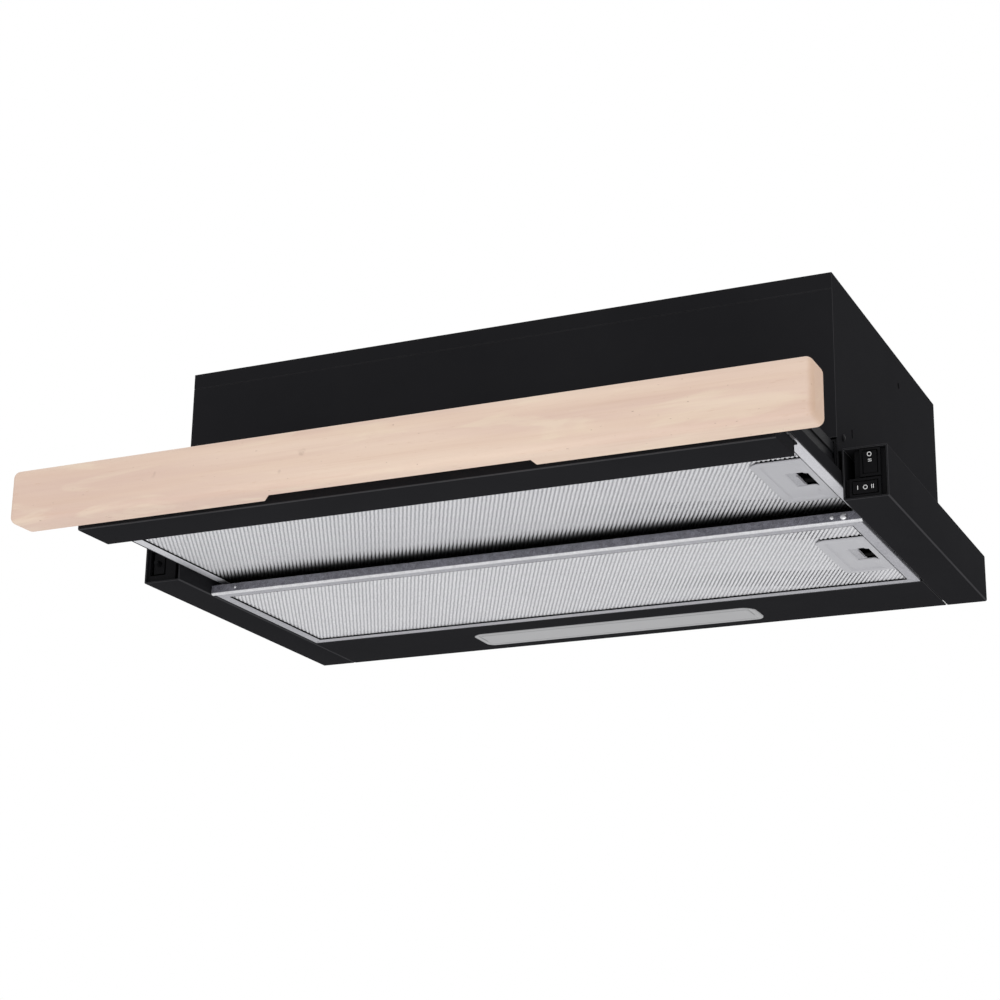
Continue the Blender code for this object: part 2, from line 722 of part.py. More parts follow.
def make_switch(name, centre, width, height, upright, tilt, black, rocker_finish):
    """A rocker switch: a bezel and body with a well, and a two-faced rocker on a pivot in the well."""
    x, z = centre
    face = front + 0.0004
    back = front + 0.0032 - gap
    w, h = width / 2, height / 2
    body = block(name + "_body", (x - w, face, z - h), (x + w, back, z + h), black)
    weld(body, block(name + "_case", (x - w + 0.001, back - 0.001, z - h + 0.001),
                     (x + w - 0.001, face + switch_body_depth, z + h - 0.001)))
    wall = 0.0019
    cut(body, block(name + "_well", (x - w + wall, face - 0.01, z - h + wall),
                    (x + w - wall, face + 0.0085, z + h - wall)))

    long_half = (h if upright else w) - wall - rocker_gap
    short_half = (w if upright else h) - wall - rocker_gap
    pivot_y = face + 0.0026
    crown = 0.0032
    outline = [(-long_half, crown), (0, crown - long_half * math.tan(rocker_tilt)), (long_half, crown),
               (long_half * 0.93, -0.0008), (0.0022, -0.0036), (-0.0022, -0.0036), (-long_half * 0.93, -0.0008)]
    if upright:
        points = [(pivot_y - out, along) for along, out in outline]
        rocker = prism(name + "_rocker", points, "X", x - short_half, x + short_half, rocker_finish)
        rocker.data.transform(Matrix.Translation((0, 0, z)))
    else:
        points = [(x + along, pivot_y - out) for along, out in outline]
        rocker = prism(name + "_rocker", points, "Z", z - short_half, z + short_half, rocker_finish)
    pivot_on(rocker, (x, pivot_y, z))
    rocker.rotation_euler = (tilt, 0, 0) if upright else (0, 0, tilt)
    return body, rocker


def make_microswitch(black):
    """The left rail's front insert: a framed plate with the switch that the closing visor works."""
    left, right = rail_span(-1)
    low, high = under + rail_sheet + gap, -rail_sheet - gap
    window = ((left + 0.0022, under + 0.0065), (left + 0.0162, under + 0.0262))
    holder = block("microswitch_holder", (left + gap, front + 0.0022, low), (right - 0.004, front + 0.0052, high),
                   black)
    cut(holder, block("holder_window", (window[0][0], front - 0.01, window[0][1]),
                      (window[1][0], front + 0.02, window[1][1])))
    x = (window[0][0] + window[1][0]) / 2
    z = (window[0][1] + window[1][1]) / 2
    w, h = 0.0048, 0.0085
    case = block("microswitch_body", (x - w, front + 0.0040, z - h), (x + w, front + 0.0200, z + h), black)
    cut(case, rod("plunger_bore", (x, front, z), "Y", 0.003, 0.013, 0.0018 + gap, 12))
    plunger = rod("microswitch_plunger", (x, front, z), "Y", -0.0012, 0.0095, 0.0018, 12, black)
    smooth(plunger)
    pivot_on(plunger, (x, front, z))
    return holder, case, plunger


# ---------------------------------------------------------------- the whole hood
def build():
    clear_scene()
    black = finish("black_paint", (0.012, 0.012, 0.014), 0.0, 0.55)
    wood = finish("pale_beech", (0.78, 0.60, 0.49), 0.0, 0.55)
    filter_metal = finish("filter_aluminium", (0.55, 0.56, 0.60), 0.9, 0.4)
    mesh_metal = finish("expanded_aluminium", (0.62, 0.63, 0.66), 0.8, 0.45)
    handle_grey = finish("handle_grey", (0.62, 0.63, 0.66), 0.2, 0.45)
    zinc = finish("zinc_plate", (0.30, 0.30, 0.34), 0.9, 0.4)
    steel = finish("bright_steel", (0.70, 0.70, 0.72), 1.0, 0.3)
    dark_steel = finish("dark_runner", (0.03, 0.03, 0.033), 0.6, 0.45)
    black_plastic = finish("black_plastic", (0.01, 0.01, 0.011), 0.0, 0.4)
    grey_plastic = finish("grey_plastic", (0.12, 0.12, 0.13), 0.0, 0.5)
    white_plastic = finish("white_plastic", (0.75, 0.76, 0.76), 0.0, 0.4)
    lens_finish = finish("frosted_lens", (0.72, 0.74, 0.75), 0.0, 0.35)
    board_finish = finish("lamp_board", (0.80, 0.80, 0.76), 0.0, 0.5)
    cast = finish("motor_shell", (0.35, 0.36, 0.38), 0.9, 0.45)

    front_panel = make_front_panel(black)
    make_top_panel(black)
    make_rear_panel(black)
    for name, side in (("left", -1), ("right", 1)):
        panel = make_side_panel(name + "_side_panel", side, black)
        make_side_screw(name + "_side_screw", side, (panel, front_panel), dark_steel)
        make_rail(name + "_rail", side, black)
    make_lamp_panel(black)
    strip = make_cross_strip(zinc)
    rivet_z = under + strip_height / 2 + 0.0006
    for name, x, head, shank in (("strip_rivet_left", -filter_x + 0.020, 0.0012, 0.0007),
                                 ("strip_rivet_right_small", filter_x - 0.020, 0.0016, 0.0009),
                                 ("strip_rivet_right_large", filter_x - 0.0115, 0.0026, 0.0014)):
        rivet(name, (x, strip_front, rivet_z), -1, head, shank, strip_sheet + 0.0016, steel, (strip,))

    make_lens(lens_finish)
    make_lamp_housing(white_plastic)
    make_led_board(board_finish)

    fixed = make_filter("fixed_filter", fixed_filter_front, fixed_filter_rear, fixed_filter_low,
                        filter_metal, mesh_metal, handle_grey, steel)
    carrier("fixed_filter_hinge", (-filter_x, 0, fixed_filter_low), fixed)

    sliding = list(make_filter("visor_filter", visor_filter_front, visor_filter_rear, visor_filter_low,
                               filter_metal, mesh_metal, handle_grey, steel))
    channel = make_channel(black)
    bar = make_wood_bar(wood)
    sliding += [channel, bar, make_rear_bar(black)]
    for k, share in enumerate(bar_screw_places):
        sliding.append(make_bar_screw(f"bar_screw_{k + 1}", share * bar_width, steel, channel, bar))
    for name, side in (("left", -1), ("right", 1)):
        _, inner = make_runner(name + "_runner", side, dark_steel, dark_steel)
        sliding += [inner, make_arm(name + "_arm", side, black)]
    carrier("visor_slide", (0, channel_rear, (runner_low + runner_high) / 2), sliding)

    make_scroll(grey_plastic)
    impeller = make_impeller(grey_plastic)
    _, shaft, _, _ = make_motor(cast, steel, zinc, black_plastic)
    carrier("fan_axis", (0, fan_y, fan_z), (impeller, shaft))
    make_collar(black_plastic)
    make_flap("damper_flap_front", -1, black_plastic)
    make_flap("damper_flap_rear", 1, black_plastic)
    make_gland(black_plastic)
    make_terminal_box(white_plastic)

    make_switch_frame(black_plastic)
    make_switch("light_switch", upper_switch_centre(), upper_switch_width, upper_switch_height, True,
                rocker_tilt, black_plastic, black_plastic)
    make_switch("speed_switch", lower_switch_centre(), lower_switch_width, lower_switch_height, False,
                0, black_plastic, black_plastic)
    make_microswitch(black_plastic)


build()
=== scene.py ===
import json
import math

import bmesh
import bpy
import numpy as np
from mathutils import Euler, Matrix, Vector


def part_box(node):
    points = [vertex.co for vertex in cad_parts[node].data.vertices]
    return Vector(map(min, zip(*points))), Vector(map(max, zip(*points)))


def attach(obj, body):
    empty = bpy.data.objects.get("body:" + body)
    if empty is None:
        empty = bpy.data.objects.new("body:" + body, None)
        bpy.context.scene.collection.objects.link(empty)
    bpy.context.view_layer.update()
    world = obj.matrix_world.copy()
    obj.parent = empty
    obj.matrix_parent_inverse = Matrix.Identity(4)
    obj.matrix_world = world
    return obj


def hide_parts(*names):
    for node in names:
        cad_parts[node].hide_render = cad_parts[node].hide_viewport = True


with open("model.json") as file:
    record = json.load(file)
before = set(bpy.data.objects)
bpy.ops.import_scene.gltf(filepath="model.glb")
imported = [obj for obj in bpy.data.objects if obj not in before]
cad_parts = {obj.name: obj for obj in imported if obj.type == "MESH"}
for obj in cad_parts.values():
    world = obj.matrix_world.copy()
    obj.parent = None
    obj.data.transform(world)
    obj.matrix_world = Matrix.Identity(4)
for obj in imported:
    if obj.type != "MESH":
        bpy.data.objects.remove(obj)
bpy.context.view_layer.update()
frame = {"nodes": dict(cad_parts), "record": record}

print("frame loaded:", len(frame["nodes"]), "nodes")


# shader maths

def mathsNode(operation):
    # a method that adds one Math node, for an operator sign or for a function of one value
    def apply(wire, *others):
        return wire.finish.node("ShaderNodeMath", {"operation": operation}, dict(enumerate((wire, *others))))
    return apply


class Wire:
    # an output socket that can stand in a sum
    def __init__(self, finish, socket):
        self.finish = finish
        self.socket = socket

    __add__ = __radd__ = mathsNode("ADD")
    __sub__ = mathsNode("SUBTRACT")
    __mul__ = __rmul__ = mathsNode("MULTIPLY")
    __pow__ = mathsNode("POWER")
    size = mathsNode("ABSOLUTE")
    wave = mathsNode("SINE")
    largest = mathsNode("MAXIMUM")

    def rise(self, low, high):
        # nought below low, one above high, and a smooth step between
        return self.finish.node("ShaderNodeMapRange", {"interpolation_type": "SMOOTHSTEP"},
                                {"Value": self, "From Min": low, "From Max": high})


class Finish:
    # one material, built node by node around its Principled shader
    def __init__(self, name, metallic=0.0, sheen=0.5):
        self.material = bpy.data.materials.new(name)
        self.material.use_nodes = True
        self.tree = self.material.node_tree
        self.shader = self.tree.nodes["Principled BSDF"]
        self.shader.inputs["Metallic"].default_value = metallic
        self.shader.inputs["Specular IOR Level"].default_value = sheen
        self.place = self.node("ShaderNodeTexCoord", output="Object")

    def node(self, kind, settings=None, sockets=None, output=0):
        made = self.tree.nodes.new(kind)
        for key, value in (settings or {}).items():
            setattr(made, key, value)
        for key, value in (sockets or {}).items():
            self.feed(made.inputs[key], value)
        return Wire(self, made.outputs[output])

    def feed(self, socket, value):
        if isinstance(value, Wire):
            self.tree.links.new(value.socket, socket)
        else:
            socket.default_value = value

    def set(self, socketName, value):
        self.feed(self.shader.inputs[socketName], value)
        return self

    def stretched(self, scale, turn=(0, 0, 0)):
        return self.node("ShaderNodeMapping", {}, {"Vector": self.place, "Rotation": turn, "Scale": scale})

    def noise(self, scale, detail=3.0, roughness=0.5, vector=None, distortion=0.0):
        sockets = {"Vector": vector or self.place, "Scale": scale, "Detail": detail,
                   "Roughness": roughness, "Distortion": distortion}
        return self.node("ShaderNodeTexNoise", {}, sockets)

    def cellColour(self, scale):
        # a random colour for each cell of a broken-up pattern
        return self.node("ShaderNodeTexVoronoi", {}, {"Vector": self.place, "Scale": scale}, "Color")

    def axis(self, name, vector=None):
        return self.node("ShaderNodeSeparateXYZ", {}, {"Vector": vector or self.place}, name)

    def blend(self, factor, low, high, mode="MIX"):
        low, high = [c if isinstance(c, Wire) else (*c, 1.0) for c in (low, high)]
        return self.node("ShaderNodeMix", {"data_type": "RGBA", "blend_type": mode},
                         {0: factor, 6: low, 7: high}, 2)

    def shaded(self, colour, look):
        # a look may darken towards the rear as painted shadow, from the first place along Y to the second
        if "paintedShadowSpan" not in look:
            return colour
        return self.blend(self.axis("Y").rise(*look["paintedShadowSpan"]) * 0.98, colour, look["paintedShadowColour"])

    def bump(self, height, strength, distance):
        sockets = {"Height": height, "Strength": strength, "Distance": distance}
        return self.set("Normal", self.node("ShaderNodeBump", {}, sockets))


# finishes

def powderCoat(name, look):
    # black powder coat: a fine pebbled skin, slightly uneven gloss, and faint dust
    made = Finish(name, sheen=look["sheen"])
    cloud = made.noise(9.0, 4.0, 0.6)
    dust = made.noise(320.0, 5.0, 0.7).rise(0.62, 0.80) * made.noise(23.0).rise(0.35, 0.7)
    colour = made.blend(cloud, look["dark"], look["light"])
    made.set("Base Color", made.blend(dust * look["dust"], colour, look["dustColour"]))
    pebble = made.noise(look["pebbles"], 2.0, 0.45)
    made.set("Roughness", look["roughness"] + 0.10 * (cloud - 0.5) + 0.08 * (pebble - 0.5) + dust * 0.1)
    return made.bump(pebble + 0.25 * made.noise(look["pebbles"] * 0.3), 0.35, look["relief"])


def brushedSheet(name, look):
    # bright sheet metal: a fine grain or lines, clouds, and a few short scratches
    made = Finish(name, look["metallic"])
    lines = made.noise(1.0, 4.0, 0.65, made.stretched(look["lineScale"]))
    cloud = made.noise(14.0, 4.0, 0.6)
    mark = made.noise(1.0, 2.0, 0.5, made.stretched(look["scratchScale"], (0, 0, 0.5))).rise(0.70, 0.74)
    tone = 0.45 * lines.rise(0.25, 0.75) + 0.55 * cloud
    made.set("Base Color", made.shaded(made.blend(tone, look["dark"], look["light"]), look))
    made.set("Roughness", look["roughness"] + 0.16 * (lines - 0.5) + 0.10 * (cloud - 0.5) - 0.08 * mark)
    return made.bump(lines + 0.4 * mark, 0.3, look["relief"])


def galvanised(name, look):
    # zinc-plated strip: crystal patches with their own tone, and fine grain over them
    made = Finish(name, look["metallic"])
    patch = made.axis("X", made.cellColour(look["patches"]))
    grain = made.noise(look["grain"], 3.0, 0.7)
    tone = 0.35 * patch + 0.65 * grain.rise(0.3, 0.7)
    made.set("Base Color", made.blend(tone, look["dark"], look["light"]))
    made.set("Roughness", look["roughness"] + 0.14 * (patch - 0.5) + 0.10 * (grain - 0.5))
    return made.bump(grain + 0.5 * patch, 0.35, look["relief"])


def moulded(name, look):
    # moulded plastic: spark-eroded grain, and a slow drift in tone and gloss
    made = Finish(name, look.get("metallic", 0.0), look.get("sheen", 0.4))
    grain = made.noise(look["grain"], 3.0, 0.6)
    drift = made.noise(18.0, 3.0, 0.5)
    made.set("Base Color", made.blend(0.6 * drift + 0.4 * grain, look["dark"], look["light"]))
    made.set("Roughness", look["roughness"] + 0.10 * (drift - 0.5) + 0.08 * (grain - 0.5))
    return made.bump(grain, 0.3, look["relief"])


def sandedBeech(name, look):
    # pale beech: broad bands along the board, fine fibres, short ray flecks, and small dark pores
    made = Finish(name, sheen=0.3)
    bend = made.noise(5.0, 2.0, 0.5)
    x, y, z = made.axis("X"), made.axis("Y"), made.axis("Z")
    rings = ((z * 330.0 + y * 150.0 + x * 3.0 + bend * 9.0).wave() * 0.5 + 0.5) ** 1.6
    bands = made.noise(1.0, 4.0, 0.55, made.stretched((2.6, 22.0, 46.0)))
    fibres = made.noise(1.0, 6.0, 0.62, made.stretched((14.0, 500.0, 620.0)))
    fleckPlace = made.stretched((95.0, 900.0, 900.0), (0, 0, 0.03))
    fleck = made.noise(1.0, 2.0, 0.5, fleckPlace).rise(0.66, 0.76)
    pores = made.noise(1.0, 2.0, 0.4, made.stretched((240.0, 700.0, 700.0))).rise(0.735, 0.77)
    knots = made.noise(60.0, 2.0, 0.4).rise(0.72, 0.78)
    patches = made.noise(1.0, 3.0, 0.5, made.stretched((9.0, 30.0, 55.0)), 1.5)
    base = made.blend(bands.rise(0.28, 0.72), look["pink"], look["cream"])
    base = made.blend(patches.rise(0.52, 0.70) * 0.5, base, look["pale"])
    base = made.blend(rings * look["rings"], base, look["amber"])
    base = made.blend(fibres.rise(0.45, 0.75) * look["fibres"], base, look["brown"])
    base = made.blend(fleck * look["flecks"], base, look["brown"])
    base = made.blend((pores * 0.5).largest(knots * 0.35), base, look["pore"])
    endGrain = x.size().rise(look["halfLength"] - look["endGrain"], look["halfLength"])
    base = made.blend(endGrain * 0.62, base, look["brown"])
    made.set("Base Color", base)
    made.set("Roughness", look["roughness"] + 0.12 * (fibres - 0.5) + 0.06 * fleck)
    return made.bump(fibres * 0.7 - pores + 0.2 * bands, 0.35, look["relief"])


def meshStrand(name, look):
    # the ribs of expanded metal: brushed metal, darkened as painted shade in a bead where each cross strand
    # joins, with fine random flecks in the same darkening
    made = brushedSheet(name, look)
    x, y = made.axis("X"), made.axis("Y")
    bead = ((y - x * look["slope"]) * (math.tau / look["beads"])).wave() * 0.5 + 0.5
    fleck = made.noise(900.0, 2.0, 0.6).rise(0.35, 0.65)
    colour = Wire(made, made.shader.inputs["Base Color"].links[0].from_socket)
    # painted shade: the beads and flecks multiply the rib colour towards the darker bead colour
    depth = (bead * 0.6 + fleck * 0.4) * look["beadShadeStrength"]
    return made.set("Base Color", made.blend(depth, colour, look["beadShadeColour"], "MULTIPLY"))


def innerGauze(name, look):
    # the second layer of expanded metal, seen through the first: small slanted diamonds, in tones far darker
    # than the ribs' metal as painted shade
    made = Finish(name, look["metallic"])
    x, y = made.axis("X"), made.axis("Y")
    steps = math.tau / look["pitch"]
    first = ((x + y * look["lean"]) * steps).wave()
    second = ((x - y * look["lean"]) * steps).wave()
    strand = first.largest(second).rise(0.35, 0.85)
    cloud = made.noise(30.0, 3.0)
    colour = made.blend(strand * 0.8 + cloud * 0.2, look["dark"], look["light"])
    made.set("Base Color", made.shaded(colour, look))
    made.set("Roughness", look["roughness"] + 0.15 * (cloud - 0.5))
    return made.bump(strand, 0.8, look["relief"])


def frostedLens(name, look):
    # frosted cover: a fine frost and a slow drift in tone
    made = Finish(name)
    frost = made.noise(1400.0, 2.0, 0.6)
    drift = made.noise(9.0, 2.0)
    made.set("Base Color", made.blend(0.7 * drift + 0.3 * frost, look["dark"], look["light"]))
    made.set("Roughness", look["roughness"] + 0.10 * (frost - 0.5))
    return made.bump(frost, 0.25, look["relief"])


blackLook = {"dark": (0.0124, 0.0124, 0.0140), "light": (0.0188, 0.0188, 0.0206), "sheen": 0.0006,
             "roughness": 0.50, "pebbles": 2100.0, "relief": 0.00005, "dust": 0.06,
             "dustColour": (0.06, 0.06, 0.06)}
# painted highlight: a lighter copy of the black paint, with more dust, for rounded edges and folds
edgeHighlightLook = dict(blackLook, dark=(0.030, 0.030, 0.032), light=(0.066, 0.066, 0.070), dust=0.2)
runnerLook = dict(blackLook, dark=(0.010, 0.010, 0.011), light=(0.017, 0.017, 0.019), sheen=0.02,
                  roughness=0.42)
frameLook = {"metallic": 0.35, "dark": (0.15, 0.15, 0.18), "light": (0.56, 0.56, 0.59), "roughness": 0.46,
             "lineScale": (900.0, 900.0, 900.0), "scratchScale": (40.0, 900.0, 900.0), "relief": 0.00003}
# painted light: the visor's frame is the same aluminium as the fixed frame, given lighter tones
visorFrameLitLook = dict(frameLook, dark=(0.40, 0.40, 0.43), light=(0.80, 0.80, 0.83))
strandLook = {"metallic": 0.20, "dark": (0.80, 0.80, 0.83), "light": (0.98, 0.98, 1.0), "roughness": 0.40,
              "lineScale": (700.0, 700.0, 700.0), "scratchScale": (60.0, 900.0, 900.0), "relief": 0.00004,
              "slope": 0.30, "beads": 0.0024, "beadShadeStrength": 0.66, "beadShadeColour": (0.25, 0.25, 0.26)}
# painted shade: the cross strands are the ribs' metal in darker tones, for lying behind the ribs
crossShadedLook = dict(strandLook, dark=(0.50, 0.50, 0.53), light=(0.74, 0.74, 0.77))
# painted shade: the gauze is the ribs' metal in much darker tones, for the shade behind the ribs
gauzeShadedLook = {"metallic": 0.2, "dark": (0.06, 0.06, 0.07), "light": (0.38, 0.38, 0.41), "roughness": 0.50,
             "pitch": 0.0017, "lean": 0.62, "relief": 0.0003}
# painted shadow: the visor's mesh darkens between these places along Y, its ribs a little further back, where
# the strip and the fixed filter shade it
ribPaintedShadow = {"paintedShadowSpan": (-0.2590, -0.2390), "paintedShadowColour": (0.005, 0.005, 0.006)}
gauzePaintedShadow = dict(ribPaintedShadow, paintedShadowSpan=(-0.2680, -0.2480))
sliderLook = dict(frameLook, dark=(0.16, 0.16, 0.18), light=(0.62, 0.62, 0.65))
plateLook = {"metallic": 0.15, "dark": (0.36, 0.36, 0.385), "light": (0.51, 0.51, 0.535), "roughness": 0.42,
             "grain": 1500.0, "relief": 0.00003, "sheen": 0.5}
steelLook = {"metallic": 1.0, "dark": (0.62, 0.62, 0.64), "light": (0.86, 0.86, 0.88), "roughness": 0.28,
             "lineScale": (900.0, 900.0, 900.0), "scratchScale": (200.0, 900.0, 900.0), "relief": 0.00002}
zincLook = {"metallic": 0.35, "dark": (0.055, 0.055, 0.070), "light": (0.27, 0.27, 0.31), "roughness": 0.46,
            "patches": 420.0, "grain": 1500.0, "relief": 0.00006}
# painted light: a lighter copy of the zinc for the faces that look down
litZincLook = dict(zincLook, dark=(0.52, 0.52, 0.54), light=(0.80, 0.80, 0.82))
castLook = {"metallic": 0.75, "dark": (0.26, 0.27, 0.28), "light": (0.42, 0.43, 0.44), "roughness": 0.50,
            "patches": 300.0, "grain": 900.0, "relief": 0.00015}
greyLook = {"dark": (0.095, 0.095, 0.10), "light": (0.14, 0.14, 0.15), "roughness": 0.52, "grain": 1200.0,
            "relief": 0.00005}
jetLook = {"dark": (0.0055, 0.0055, 0.0060), "light": (0.0095, 0.0095, 0.0105), "roughness": 0.40,
           "grain": 1700.0, "relief": 0.00004, "sheen": 0.02}
whiteLook = {"dark": (0.70, 0.71, 0.71), "light": (0.80, 0.81, 0.81), "roughness": 0.40, "grain": 1200.0,
             "relief": 0.00003}
boardLook = dict(whiteLook, dark=(0.74, 0.74, 0.68), light=(0.84, 0.84, 0.80), grain=500.0)
# painted shadow: a near-black finish for dark gaps and hollows
paintedShadowLook = dict(jetLook, dark=(0.003, 0.003, 0.003), light=(0.006, 0.006, 0.006), sheen=0.001)
markLook = {"dark": (0.70, 0.70, 0.70), "light": (0.84, 0.84, 0.84), "roughness": 0.55, "grain": 2500.0,
            "relief": 0.00001}
lensLook = {"dark": (0.24, 0.24, 0.25), "light": (0.37, 0.37, 0.38), "roughness": 0.30, "relief": 0.00004}
# painted shade: a darker copy of the lens finish for the front half of its ridge
lensRidgeShadeLook = dict(lensLook, dark=(0.09, 0.09, 0.095), light=(0.17, 0.17, 0.175))
beechLook = {"pink": (0.655, 0.480, 0.400), "cream": (0.765, 0.605, 0.490), "pale": (0.79, 0.665, 0.52),
             "amber": (0.64, 0.45, 0.33), "brown": (0.56, 0.37, 0.25), "pore": (0.22, 0.13, 0.09),
             "rings": 0.14, "fibres": 0.16, "flecks": 0.30, "roughness": 0.56, "relief": 0.00006,
             "halfLength": 0.2985, "endGrain": 0.0045}

finishes = {
    "black_paint": powderCoat("blackPowderCoat", blackLook),
    "runner_steel": powderCoat("blackRunner", runnerLook),
    "pale_beech": sandedBeech("paleBeech", beechLook),
    "filter_aluminium": brushedSheet("filterFrame", frameLook),
    "fixed_ribs": meshStrand("fixedRibs", strandLook),
    "fixed_gauze": innerGauze("fixedGauze", gauzeShadedLook),
    "handle_grey": moulded("handleGrey", plateLook),
    "bright_steel": brushedSheet("brightSteel", steelLook),
    "zinc_plate": galvanised("zincPlate", zincLook),
    "motor_shell": galvanised("castShell", castLook),
    "grey_plastic": moulded("greyPlastic", greyLook),
    "black_plastic": moulded("blackPlastic", jetLook),
    "white_plastic": moulded("whitePlastic", whiteLook),
    "frosted_lens": frostedLens("frostedLens", lensLook),
    "lamp_board": moulded("lampBoard", boardLook),
    "black_edge_highlight": powderCoat("blackPaintedEdgeHighlight", edgeHighlightLook),
    "visor_frame": brushedSheet("visorFrameLit", visorFrameLitLook),
    "visor_ribs": meshStrand("visorRibs", {**strandLook, **ribPaintedShadow}),
    "fixed_cross": brushedSheet("fixedCross", crossShadedLook),
    "visor_cross": brushedSheet("visorCross", {**crossShadedLook, **gauzePaintedShadow}),
    "visor_gauze": innerGauze("visorGauze", {**gauzeShadedLook, **gauzePaintedShadow}),
    "slider": brushedSheet("sliderPlate", sliderLook),
    "strip_lip_lit": galvanised("zincPaintedLight", litZincLook),
    "painted_shadow": moulded("blackPaintedShadow", paintedShadowLook),
    "lens_ridge_shade": frostedLens("lensRidgePaintedShade", lensRidgeShadeLook),
    "marks": moulded("whiteMarks", markLook),
}
slotOfNode = {row["node"]: row["material_slot"] for row in frame["record"]["subparts"]}
bodyOfNode = {n: b for b, names in frame["record"]["behaviour"]["bodies"].items() for n in names}
print("finishes made:", len(finishes))


# mesh tools: every array is whole, and a piece is put in place by its points

def gridFaces(rows, columns, joinColumns=False, joinRows=False, start=0):
    # four-sided faces between the points of a grid; a join closes the grid on itself that way
    i = np.arange(rows if joinRows else rows - 1)[:, None]
    j = np.arange(columns if joinColumns else columns - 1)[None, :]
    nextRow, nextColumn = (i + 1) % rows, (j + 1) % columns
    here, below = i * columns, nextRow * columns
    corners = (here + j, here + nextColumn, below + nextColumn, below + j)
    return start + np.stack(np.broadcast_arrays(*corners), -1).reshape(-1, 4)


def tubeFaces(rings, count, start=0):
    # rings of points joined into a tube, with a cap on each end
    ends = [list(range(start + r * count, start + (r + 1) * count)) for r in (0, rings - 1)]
    return gridFaces(rings, count, joinColumns=True, start=start).tolist() + ends


def bentFaces(rings, count, start=0):
    # the same for a sheet, whose ring goes along one face and back along the other, count points each way
    i = np.arange(count - 1)
    cap = np.stack([i, i + 1, 2 * count - 2 - i, 2 * count - 1 - i], 1) + start
    sides = gridFaces(rings, 2 * count, joinColumns=True, start=start)
    return np.concatenate([sides, cap, cap + (rings - 1) * 2 * count]).tolist()


def twoSkins(flat, below, above, walls):
    # a lower and an upper skin over one grid of rings, joined by a wall at each ring in walls
    rows, count = below.shape
    total = rows * count
    grid = gridFaces(rows, count, joinColumns=True)
    ring = np.arange(count)
    step = (ring + 1) % count
    sides = [r * count + np.stack([ring, step, step + total, ring + total], 1) for r in walls]
    points = [np.concatenate([flat, z[..., None]], -1).reshape(-1, 3) for z in (below, above)]
    return np.concatenate(points), np.concatenate([grid, grid + total, *sides])


def addObject(name, data):
    made = bpy.data.objects.new(name, data)
    bpy.context.scene.collection.objects.link(made)
    return made


def mounted(piece, body, replaced):
    # ties a piece to its body and its slot, and hides the CAD nodes that it stands in for
    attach(piece, body)
    if replaced:
        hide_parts(*replaced)


def worked(mesh, reach, step):
    # joins a mesh's points closer than reach, then runs one step on it
    work = bmesh.new()
    work.from_mesh(mesh)
    bmesh.ops.remove_doubles(work, verts=work.verts, dist=reach)
    step(work)
    work.to_mesh(mesh)
    work.free()
    mesh.shade_smooth()


def turnedOutwards(work):
    bmesh.ops.recalc_face_normals(work, faces=work.faces)


def madeWhole(work):
    # flat faces lose the lines that split them
    bmesh.ops.dissolve_limit(work, angle_limit=math.radians(0.5), verts=work.verts, edges=work.edges)


def newPiece(name, points, faces, node, finish=None, slotName=None, standsIn=True, sharp=35.0, second=None,
             chosen=None):
    # a mesh from points and faces, turned outwards, with its edges past the sharp angle left crisp; it goes
    # with a CAD node, takes the finish of that node's slot unless told another finish, and stands in for that
    # node too;
    # the faces that the choice picks take the second finish; the slotName argument is not used
    mesh = bpy.data.meshes.new(name)
    mesh.from_pydata(np.asarray(points, float).tolist(), [], [list(map(int, f)) for f in faces])
    worked(mesh, 1e-7, turnedOutwards)
    mesh.set_sharp_from_angle(angle=math.radians(sharp))
    mesh.materials.append(finishes[finish or slotOfNode[node]].material)
    if second:
        paintChosen(mesh, second, chosen)
    mounted(addObject(name, mesh), bodyOfNode[node], (node,) if standsIn else ())


def paintChosen(mesh, second, chosen):
    # gives the second finish to the faces that a test on (centres, normals) picks
    mesh.materials.append(finishes[second].material)
    centres, normals = np.empty(len(mesh.polygons) * 3), np.empty(len(mesh.polygons) * 3)
    mesh.polygons.foreach_get("center", centres)
    mesh.polygons.foreach_get("normal", normals)
    picked = chosen(centres.reshape(-1, 3), normals.reshape(-1, 3))
    mesh.polygons.foreach_set("material_index", picked.astype(np.int32))


def onFolds(centres, normals):
    # the faces of a fold or a rounded edge lean away from every axis
    return abs(normals).max(1) < 0.985


def roundedBends(corners, inner, thickness, steps=6):
    # a sheet's line and its other face, thickness to the left: each corner becomes two arcs about one centre
    corners = np.asarray(corners, float)
    along = np.diff(corners, axis=0)
    along /= np.linalg.norm(along, axis=1)[:, None]
    left = np.stack([-along[:, 1], along[:, 0]], 1)
    lines, others = [corners[0]], [corners[0] + left[0] * thickness]
    for k in range(1, len(corners) - 1):
        cross = along[k - 1, 0] * along[k, 1] - along[k - 1, 1] * along[k, 0]
        turn = math.copysign(math.acos(np.clip(along[k - 1] @ along[k], -1, 1)), cross)
        near = inner + (thickness if turn > 0 else 0.0)
        sign = math.copysign(1.0, turn)
        centre = corners[k] - along[k - 1] * near * math.tan(abs(turn) / 2) + sign * left[k - 1] * near
        t = np.linspace(0, turn, steps + 1)[:, None]
        spoke = np.cos(t) * -sign * left[k - 1] + np.sin(t) * sign * along[k - 1]
        lines.extend(centre + spoke * near)
        others.extend(centre + spoke * (near - sign * thickness))
    lines.append(corners[-1])
    others.append(corners[-1] + left[-1] * thickness)
    return np.array(lines), np.array(others)


def inSpace(axis, flat, along):
    # flat points carried to a place along an axis: X takes (y, z), and Y takes (x, z)
    return np.insert(flat, "XY".index(axis), along, 1)


def fourCorners(low, high):
    return np.array([low, (high[0], low[1]), high, (low[0], high[1])], float)


